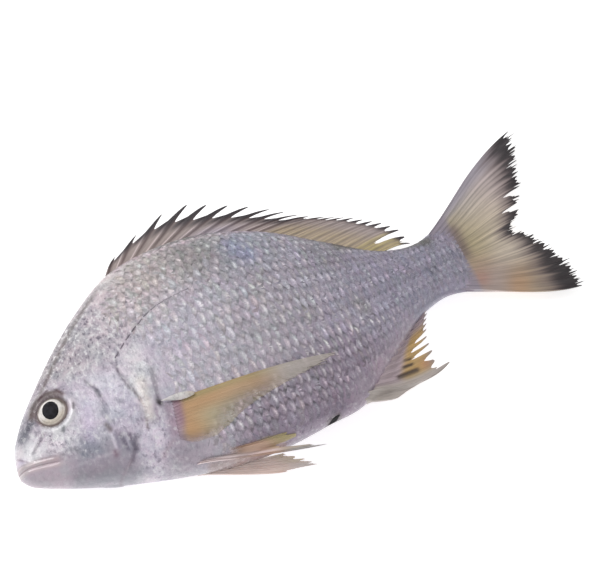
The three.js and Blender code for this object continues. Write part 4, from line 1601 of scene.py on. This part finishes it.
@dataclass
class TailFin(Fin):
    """Tail fin: rays fan out to a forked dark edge, the upper lobe longer."""

    columns: int = 20
    root_half: float = 0.8
    wave: float = 1.4
    fold: float = 0.1
    fray: float = 0.03
    flesh: float = 1.25
    count: int = 18
    root_x: float = 246.0
    root_top: float = 22.0
    root_bottom: float = -11.5
    upper_edge: Knots = ((302.6, 56), (300.4, 44), (293.6, 27), (286.6, 13), (278, 8.3))
    lower_edge: Knots = ((278, 8.3), (285.6, 3), (293.8, -9.4), (298.8, -23.5), (299, -34.6))
    slits: tuple[tuple[float, float], ...] = ((4.9, 0.14), (6.25, 0.19), (9.4, 0.05), (12.5, 0.05))
    slit_half: float = 0.34  # half width of a slit in ray spacings
    fringe: float = 0.03
    branches: int = 3
    patches: tuple[Zone, ...] = (
        Zone(256, 9, 8, (186, 172, 134)),
        Zone(258, 20, 8, (188, 174, 144)),
        Zone(256, -4, 5, (182, 154, 136)),
        Zone(272, -18, 5, (172, 146, 120)),
        Zone(270, 24, 9, (208, 192, 174)),
        Zone(274, 2, 8, (206, 192, 176)),
        Zone(278, 42, 9, (200, 186, 186)),
        Zone(262, 32, 7, (192, 186, 190)),
        Zone(285, 34, 8, (192, 176, 174)),
        Zone(284, -26, 8, (170, 152, 132)),
        Zone(262, -14, 6, (182, 164, 158)),
        Zone(271, -20, 3.2, (200, 154, 116)),
        Zone(255, -10, 2.6, (190, 142, 130)),
    )
    spread: float = 1.4  # how much wider than its reach a patch spreads
    upper_tone: Colour = (172, 165, 178)
    root_tone: Colour = (162, 152, 164)
    root_shadow: Colour = (112, 94, 100)
    brown: Colour = (116, 102, 102)
    black: Colour = (38, 32, 36)

    def rays(self) -> Rays:
        """Rays spread evenly over the tail root and over both lobes' edges."""
        share = np.linspace(0, 1, self.count)
        upper = Rays.along(self.upper_edge, np.clip(share * 2, 0, 1))
        lower = Rays.along(self.lower_edge, np.clip(share * 2 - 1, 0, 1))
        tips = np.where((share < 0.5)[:, None], upper, lower)
        edge = 2 * np.abs(share - 0.5)
        roots = np.column_stack([
            self.root_x - 5 * edge, self.root_top + (self.root_bottom - self.root_top) * share,
        ])
        web, slit = np.ones(self.count), np.zeros(self.count)
        return Rays(roots, tips, 3.4 - 5.8 * share, 0.4 + 0.4 * edge, web, slit)

    def reach(self, rays: Rays, ray: Array) -> Array:
        """Each ray ends in a few fine branches, and slits cut in from the edge."""
        gap = 2.0 * np.abs(self.branches * ray - np.round(self.branches * ray))
        depth = draws(FRINGE_DRAWS).uniform(0.3, 1.7, self.branches * self.count)
        depth = np.interp(self.branches * ray, np.arange(len(depth)), depth)
        fine = self.fringe * depth * smooth(0.1, 0.9, gap)
        cut = sum(deep * (1.0 - smooth(0.0, self.slit_half, np.abs(ray - at))) for at, deep in self.slits)
        return super().reach(rays, ray) - fine - cut

    def colour(self, at: FinPoint) -> tuple[Array, Array]:
        """Blended patches of grey, olive and orange, a dark root and a black frayed edge."""
        tone, _ = blend_zones(self.patches, at.x, at.y, self.spread, 1e-6)
        share = at.ray / (self.count - 1)
        tone = mix(tone, self.upper_tone, 0.8 * (1.0 - smooth(0.02, 0.12, share)))
        root = bell(at.x - 253.5, 3.0) * smooth(-2, 6, at.y) * (1.0 - smooth(18, 25, at.y))
        tone = mix(tone, self.root_tone, 1.0 - smooth(250.5, 254.0, at.x))
        tone = mix(tone, self.root_shadow, 0.6 * root)
        random = draws(STREAK_DRAWS)
        streak = np.interp(at.ray, np.arange(0, self.count, 0.125), random.standard_normal(8 * self.count))
        tone = tone * (1.0 + 0.05 * streak * smooth(0.1, 0.5, at.out))[..., None]
        start = 0.87 - 0.09 * smooth(0.62, 0.9, share) - 0.06 * (1.0 - smooth(0.0, 0.15, share))
        start = start + 0.035 * streak
        tone = mix(tone, self.brown, 0.7 * smooth(-0.2, 0.04, at.out - start))
        dark = smooth(-0.05, 0.1, at.out - start) * (0.9 + 0.1 * streak).clip(0.5, 0.98)
        return mix(tone, self.black, dark), np.ones(at.x.shape)


@dataclass
class AnalFin(Fin):
    """Anal fin: a short spine, one long thick spine, and soft rays folded along the belly."""

    wave: float = 0.6
    wave_length: float = 50.0
    flesh: float = 3.4
    start: float = 168.0
    pitch: float = 4.2
    sink: float = 3.0
    tips: Knots = (
        (187, -51.8), (219.6, -45), (212.6, -40.9), (214.4, -35.6), (214.8, -31.3), (215.4, -27.4),
        (217, -23.8), (218.3, -21.1), (219.6, -18.6), (221, -16.4), (221.9, -14.5),
    )
    # lines of the slots in the web, where painted shadow lies
    gaps: tuple[Line, ...] = (
        Line((192.5, -42.0), (202.5, -42.4), 1.2),
        Line((197.0, -38.3), (201.6, -38.6), 0.65),
        Line((199.2, -35.1), (202.4, -35.6), 0.5),
    )
    base_tone: Colour = (192, 174, 180)
    web_tone: Colour = (200, 166, 112)
    edge_tone: Colour = (170, 156, 150)
    gap_shadow_tone: Colour = (58, 46, 42)
    blush: Colour = (196, 140, 110)
    blush_place: tuple[float, float] = (208.0, -41.5)
    spine_tone: Colour = (188, 178, 172)

    def rays(self) -> Rays:
        """Rays from evenly spaced roots on the belly to a tip each."""
        x = self.start + self.pitch * np.arange(len(self.tips))
        thick = np.full(len(x), 0.7)
        thick[:3] = (1.0, 2.2, 1.0)
        bow = np.full(len(x), -0.6)
        bow[1] = -4.0
        web = np.full(len(x), 0.88)
        web[3:6] = (0.68, 0.62, 0.7)
        roots = np.column_stack([x - 1.0, self.body.belly(x) + self.sink])
        return Rays(roots, np.array(self.tips, float), bow, thick, web, np.zeros(len(x)))

    def colour(self, at: FinPoint) -> tuple[Array, Array]:
        """Fleshy lilac base, straw web with painted shadow in its gaps, grey spine and grey rear rays."""
        web = smooth(0.42, 0.58, at.out) * (1.0 - smooth(6.0, 8.5, at.ray))
        tone = mix(plain(self.base_tone, at.x), self.web_tone, web)
        tone = mix(tone, self.edge_tone, smooth(0.8, 1.0, at.out))
        # painted shadow: the slots in the web between the rays are painted dark
        for gap in self.gaps:
            tone = mix(tone, self.gap_shadow_tone, 0.85 * gap.near(at.x, at.y))
        far = np.hypot(at.x - self.blush_place[0], at.y - self.blush_place[1])
        tone = mix(tone, self.blush, 0.6 * bell(far, 3.0))
        tone = mix(tone, self.spine_tone, 1.0 - smooth(1.3, 1.9, at.ray))
        return tone, np.ones(at.x.shape)


@dataclass
class PectoralFin(Fin):
    """Chest fin: a long blade that lies back on the flank, thin and clear below."""

    columns: int = 12
    rows: int = 70
    flank: Flank = Flank.LEFT
    count: int = 12
    root_top: tuple[float, float] = (76.0, -11.5)
    root_bottom: tuple[float, float] = (75.0, -29.5)
    tips: Knots = (
        (166.8, -22.2), (158, -24.4), (140, -26.4), (124, -28.4), (113, -30.4), (102, -34.4),
        (93, -36.6), (85.5, -35.2),
    )
    root_slope: float = 0.25  # how far the root runs backwards for each step towards the back
    root_line: float = 81.5
    lift_root: float = -0.7
    lift_tip: float = 0.9
    bed: float = 0.7
    table_gap: float = 0.3
    blade_tone: Colour = (212, 170, 126)
    border_tone: Colour = (182, 166, 116)
    middle: tuple[float, float] = (114.0, -24.0)
    middle_tone: Colour = (208, 178, 146)
    lower_tone: Colour = (220, 204, 166)
    tip_tone: Colour = (226, 216, 204)
    root_tone: Colour = (182, 158, 170)
    mauve: Colour = (164, 126, 146)

    def rays(self) -> Rays:
        """Rays from the slanted root to tips that run down the rear border."""
        share = np.linspace(0, 1, self.count)
        top, bottom = np.array(self.root_top), np.array(self.root_bottom)
        roots = top + (bottom - top) * share[:, None]
        tips = Rays.along(self.tips, share ** 1.25)
        thick, web = np.full(self.count, 0.16), np.full(self.count, 0.99)
        return Rays(roots, tips, 1.2 - 1.8 * share, thick, web, np.zeros(self.count))

    def past_root(self, at: FinPoint) -> Array:
        """How far points lie behind the slanted line where the fin leaves the skin."""
        return at.x - self.root_line - self.root_slope * at.y

    def level(self, at: FinPoint, half: Array, side: int) -> Array:
        """Above the skin by the lift and the ray's relief, or bedded in it below."""
        skin = self.body.half_at(at.x, at.y)
        rise = smooth(-2.0, 7.0, self.past_root(at))
        lift = self.lift_root + (self.lift_tip - self.lift_root) * rise + half - 0.3
        out = np.where(side * self.flank.value > 0, skin + lift, skin - self.bed)
        return np.maximum(self.table_gap, self.body.middle(at.x) + self.flank.value * out)

    def colour(self, at: FinPoint) -> tuple[Array, Array]:
        """Mauve base, orange-tan blade with an olive upper border; clear towards its edges."""
        share = at.ray / (self.count - 1)
        border = bell(share - 0.06, 0.1) * (1.0 - smooth(124, 150, at.x))
        tone = mix(plain(self.blade_tone, at.x), self.border_tone, 0.8 * border)
        far = np.hypot(at.x - self.middle[0], (at.y - self.middle[1]) * 2.0)
        tone = mix(tone, self.middle_tone, bell(far, 14.0))
        tone = mix(tone, self.lower_tone, smooth(0.3, 0.7, share) * smooth(84, 98, at.x))
        tone = mix(tone, self.tip_tone, smooth(120, 142, at.x))
        past = self.past_root(at)
        tone = mix(tone, self.root_tone, 1.0 - smooth(3.0, 8.5, past))
        tone = mix(tone, self.mauve, 0.75 * bell(past - 5.2, 2.4) * smooth(-29, -22, at.y))
        cover = smooth(1.2, 3.4, past) * (1.0 - 0.6 * smooth(0.8, 1.0, share))
        clear = smooth(0.25, 0.7, share) * smooth(80, 114, at.x)
        cover = cover * (1.0 - 0.5 * clear) * (1.0 - 0.45 * smooth(0.4, 0.85, at.out))
        return tone, cover


@dataclass
class PelvicFin(Fin):
    """Belly fin: a spine and five soft rays, trailing back beside the belly."""

    fold: float = 0.05
    flank: Flank = Flank.LEFT
    tips: Knots = ((121.5, -53.2), (143.3, -60.8), (136.5, -57.9), (131.5, -49.6), (127, -47.8), (117, -46))
    far_tips: Knots = ((119, -61.4), (136, -64.8), (134, -62.4), (131.4, -59.4), (127.4, -56), (123, -52))
    tear: float = 0.22  # how much deeper the left web is torn behind the two longest rays
    spine: Line = Line((80.5, -42.9), (121.0, -53.0), 0.9)
    root_start: float = 80.0
    root_span: float = 9.0
    root_level: float = -43.0
    root_rise: float = 0.5
    spread: float = 6.5
    lift: float = 0.6
    web_tone: Colour = (204, 168, 146)
    olive: Colour = (192, 176, 132)
    root_tone: Colour = (198, 184, 190)
    tip_tone: Colour = (190, 184, 182)
    spine_tone: Colour = (240, 220, 220)
    far_light_tone: Colour = (250, 226, 216)  # of the fin on the far side: painted light, as that fin lies in the body's shade
    far_cover: float = 0.64

    def rays(self) -> Rays:
        """Rays from a short root to a tip each."""
        tips = self.tips if self.flank is Flank.LEFT else self.far_tips
        count = len(tips)
        share = np.linspace(0, 1, count)
        roots = np.column_stack([
            self.root_start + self.root_span * share, self.root_level + self.root_rise * share,
        ])
        thick = np.full(count, 0.8)
        bow = np.full(count, -0.6)
        web = np.full(count, 0.95)
        if self.flank is Flank.LEFT:
            web[2] -= self.tear
        return Rays(roots, np.array(tips, float), bow, thick, web, np.zeros(count))

    def level(self, at: FinPoint, half: Array, side: int) -> Array:
        """On the flank while it lies over it, then beside the middle plane."""
        skin = self.body.half_at(at.x, at.y) + self.lift * smooth(-0.1, 0.1, at.out)
        beside = np.maximum(self.spread - 1.5 * at.out, skin)
        return self.body.middle(at.x) + self.flank.value * beside + side * half

    def colour(self, at: FinPoint) -> tuple[Array, Array]:
        """Pinkish-white spine, orange to olive web, grey tip."""
        web = smooth(0.6, 0.85, at.out) * smooth(1.5, 3.0, at.ray)
        tone = mix(plain(self.web_tone, at.x), self.olive, web)
        tone = mix(tone, self.root_tone, 1.0 - smooth(0.1, 0.4, at.out))
        tone = mix(tone, self.tip_tone, smooth(116, 128, at.x) * (1.0 - smooth(1.6, 3.0, at.ray)))
        if self.flank is Flank.RIGHT:
            # painted light: the far fin, in the body's shade, is lifted towards a pale pink
            tone = mix(tone, self.far_light_tone, 0.9 - 0.4 * smooth(0.7, 0.9, at.out))
            return tone, np.full(at.x.shape, self.far_cover)
        spine = np.maximum(self.spine.near(at.x, at.y), 1.0 - smooth(0.15, 0.4, at.ray)) * (at.x < 124.0)
        tone = mix(tone, self.spine_tone, spine)
        cover = smooth(-0.01, 0.1, at.out) * (1.0 - 0.85 * smooth(3.2, 5.0, at.ray))
        cover = cover * (1.0 - smooth(0.4, 1.2, at.ray) * (1.0 - smooth(0.2, 0.5, at.out)))
        return tone, np.maximum(cover, spine)


@dataclass
class Eye:
    """An eye: a flattened globe sunk in its socket, with an oval pupil."""

    body: BodyShape
    flank: Flank
    place: tuple[float, float] = EYE_PLACE
    radii: tuple[float, float, float] = (8.7, 8.3, 4.5)
    sink: float = 2.2
    pupil: tuple[float, float] = (4.3, 5.1)
    pupil_rise: float = 0.25
    pupil_skin: float = 0.02  # how far the pupil's rim stands over the globe
    slope_step: float = 3.0
    iris: Colour = (246, 240, 236)
    iris_low: Colour = (222, 210, 192)
    iris_ring: Colour = (186, 172, 160)
    brow_shade: Colour = (108, 97, 90)
    rim: Colour = (140, 124, 120)

    def basis(self) -> tuple[Array, Array]:
        """Centre of the globe, and its axes as rows: forwards, towards the back, outwards."""
        d, side = self.slope_step, self.flank.value
        half = self.body.half_at
        x, y = self.place
        slope_x = (half(x + d, y) - half(x - d, y)) / (2 * d)
        slope_y = (half(x, y + d) - half(x, y - d)) / (2 * d)
        axis = unit(np.array([-slope_x, -slope_y, side], float))
        ahead = unit(np.cross(np.array([0.0, 1.0, 0.0]), axis)) * side
        up = np.cross(axis, ahead) * side
        centre = np.array([x, y, float(self.body.middle(x) + side * half(x, y))])
        return centre - self.sink * axis, np.stack([ahead, up, axis])

    def dome(self, u: Array, v: Array) -> Array:
        """Height of the globe's front over its middle plane: an ellipsoid."""
        inside = 1.0 - (u / self.radii[0]) ** 2 - (v / self.radii[1]) ** 2
        return self.radii[2] * np.sqrt(np.clip(inside, 0.0, 1.0))

    def globe(self) -> Surface:
        """The globe as rings from its front pole to its back pole."""
        centre, axes = self.basis()
        polar = np.linspace(0.0, math.pi, 49)[1:-1, None]
        turn = np.linspace(0.0, 2 * math.pi, 97)[None, :-1]
        u = self.radii[0] * np.sin(polar) * np.cos(turn)
        v = self.radii[1] * np.sin(polar) * np.sin(turn)
        w = np.broadcast_to(self.radii[2] * np.cos(polar), u.shape)
        local = np.stack([u, v, w], axis=-1)
        poles = np.array([[0, 0, self.radii[2]], [0, 0, -self.radii[2]]], float)
        points = np.vstack([local.reshape(-1, 3), poles]) @ axes + centre
        far = np.hypot(u, v)
        tone = mix(plain(self.iris, u), self.iris_low, 0.7 * smooth(-1.0, -5.0, v))
        above = smooth(-0.05, 0.45, (v * 0.93 + u * 0.2) / np.maximum(far, 1e-6))
        tone = mix(tone, self.brow_shade, 0.95 * above * smooth(5.9, 6.8, far))
        tone = mix(tone, self.iris_ring, 0.6 * bell(far - 6.4, 0.35) * smooth(1.0, -3.0, v))
        colours = rgba(mix(tone, self.rim, 0.9 * smooth(6.9, 7.6, far)), np.ones(u.shape))
        return Surface(points, *capped_rings(*u.shape), np.vstack([colours, colours[0], colours[-1]]))

    def lens(self) -> Surface:
        """The pupil: an oval cap that follows the globe, rounded at its rim, with a back."""
        centre, axes = self.basis()
        reach = np.linspace(0.0, 1.0, 17)[1:, None]
        turn = np.linspace(0.0, 2 * math.pi, 65)[None, :-1]
        u = self.pupil[0] * reach * np.cos(turn)
        v = self.pupil[1] * reach * np.sin(turn)
        rise = self.pupil_rise * np.sqrt(1.0 - reach ** 2) + self.pupil_skin
        front = np.stack([u, v, self.dome(u, v) + rise], axis=-1)
        top = self.radii[2] + self.pupil_rise + self.pupil_skin
        poles = np.array([[0, 0, top], [0, 0, 1.0]], float)
        points = np.vstack([front.reshape(-1, 3), poles]) @ axes + centre
        black = np.tile(np.array([[0.02, 0.02, 0.02, 1.0]]), (len(points), 1))
        return Surface(points, *capped_rings(*u.shape), black)

    def make(self, pose: Pose, white: bpy.types.Material, black: bpy.types.Material) -> None:
        """Makes the pieces of the globe and the pupil."""
        side = self.flank.name.lower()
        self.globe().make(f"eye_globe_{side}", pose, white, Slot.EYE, f"eye_{side}")
        self.lens().make(f"pupil_lens_{side}", pose, black, Slot.PUPIL, f"pupil_{side}", crease=60.0)


@dataclass
class Studio:
    """White table, soft daylight from above and a long lens at the photograph's angle."""

    elevation: float = 68.0
    azimuth: float = -26.2
    distance: float = 8.0
    millimetres_wide: float = 300.7  # width of the view at the fish's middle plane
    target: tuple[float, float, float] = (18.8, 11.1, 20.0)
    sensor: float = 36.0
    table_half: float = 4.0
    glow: float = 0.62  # the table is a light table, so the shadow stays faint
    daylight: float = 0.38

    def camera(self) -> None:
        """A camera that looks at the target from its azimuth and elevation."""
        lens = bpy.data.cameras.new("camera")
        lens.sensor_width = self.sensor
        lens.lens = self.sensor * self.distance / (self.millimetres_wide * MM)
        lens.clip_end = 30.0
        camera = bpy.data.objects.new("camera", lens)
        turn, rise = math.radians(self.azimuth), math.radians(self.elevation)
        away = Vector((math.sin(turn) * math.cos(rise), -math.cos(turn) * math.cos(rise), math.sin(rise)))
        camera.location = Vector(self.target) * MM + away * self.distance
        camera.rotation_euler = away.to_track_quat("Z", "Y").to_euler()
        bpy.context.scene.collection.objects.link(camera)
        bpy.context.scene.camera = camera

    def light(self, name: str, place: tuple[float, float, float], size: float, power: float) -> None:
        """A square soft light that faces the fish."""
        lamp = bpy.data.lights.new(name, "AREA")
        lamp.size = size
        lamp.energy = power
        holder = bpy.data.objects.new(name, lamp)
        holder.location = Vector(place)
        holder.rotation_euler = Vector(place).to_track_quat("Z", "Y").to_euler()
        bpy.context.scene.collection.objects.link(holder)

    def floor(self) -> None:
        """A plain white table top."""
        half = self.table_half
        corners = [(-half, -half, 0), (half, -half, 0), (half, half, 0), (-half, half, 0)]
        mesh = bpy.data.meshes.new("table")
        mesh.from_pydata(corners, [], [(0, 1, 2, 3)])
        white = NodeTree("white_table")
        white.set(Base_Color=shade(0.94), Roughness=0.9, Specular_IOR_Level=0.1)
        white.set(Emission_Color=shade(1.0), Emission_Strength=self.glow)
        mesh.materials.append(white.material)
        table = bpy.data.objects.new("table", mesh)
        bpy.context.scene.collection.objects.link(table)

    def make(self) -> None:
        """Sets up the floor, the lights, the white surroundings and the camera."""
        self.floor()
        self.camera()
        self.light("window", (-0.9, 1.0, 1.9), 1.1, 22.0)
        self.light("fill", (1.0, -0.5, 1.6), 1.5, 5.0)
        world = bpy.data.worlds.new("surroundings")
        world.use_nodes = True
        background = world.node_tree.nodes["Background"]
        background.inputs["Color"].default_value = shade(1.0)
        background.inputs["Strength"].default_value = self.daylight
        scene = bpy.context.scene
        scene.world = world
        scene.view_settings.view_transform = "Standard"


def main() -> None:
    """Builds the stage and the fish, piece by piece."""
    logging.basicConfig(level=logging.INFO, format="%(name)s %(message)s")
    Studio().make()
    pose = Pose.from_frame()
    body = BodyShape()
    paint = SkinPaint()
    skin, scale = WetSkin().material(), ScaleFinish().material()
    Skin(body, paint, HeadRelief(paint)).make(pose, skin)
    for flank in Flank:
        ScaleCoat(body, paint, flank).make(pose, scale)
        LateralLine(body, paint, flank).make(pose, skin)
        Pod(body, flank).make(f"axillary_scale_{flank.name.lower()}", pose, skin)
    web = FinFinish().material()
    DorsalFin(body).make("dorsal_fin", pose, web)
    TailFin(body).make("tail_fin", pose, web)
    AnalFin(body).make("anal_fin", pose, web)
    for flank in Flank:
        side = flank.name.lower()
        PectoralFin(body, flank=flank).make(f"pectoral_fin_{side}", pose, web)
        PelvicFin(body, flank=flank).make(f"pelvic_fin_{side}", pose, web)
    white, black = EyeFinish().material(), PupilFinish().material()
    for flank in Flank:
        Eye(body, flank).make(pose, white, black)
    Vent(body, Flank.LEFT).make("vent", pose, black)


if __name__ == "__main__":
    main()
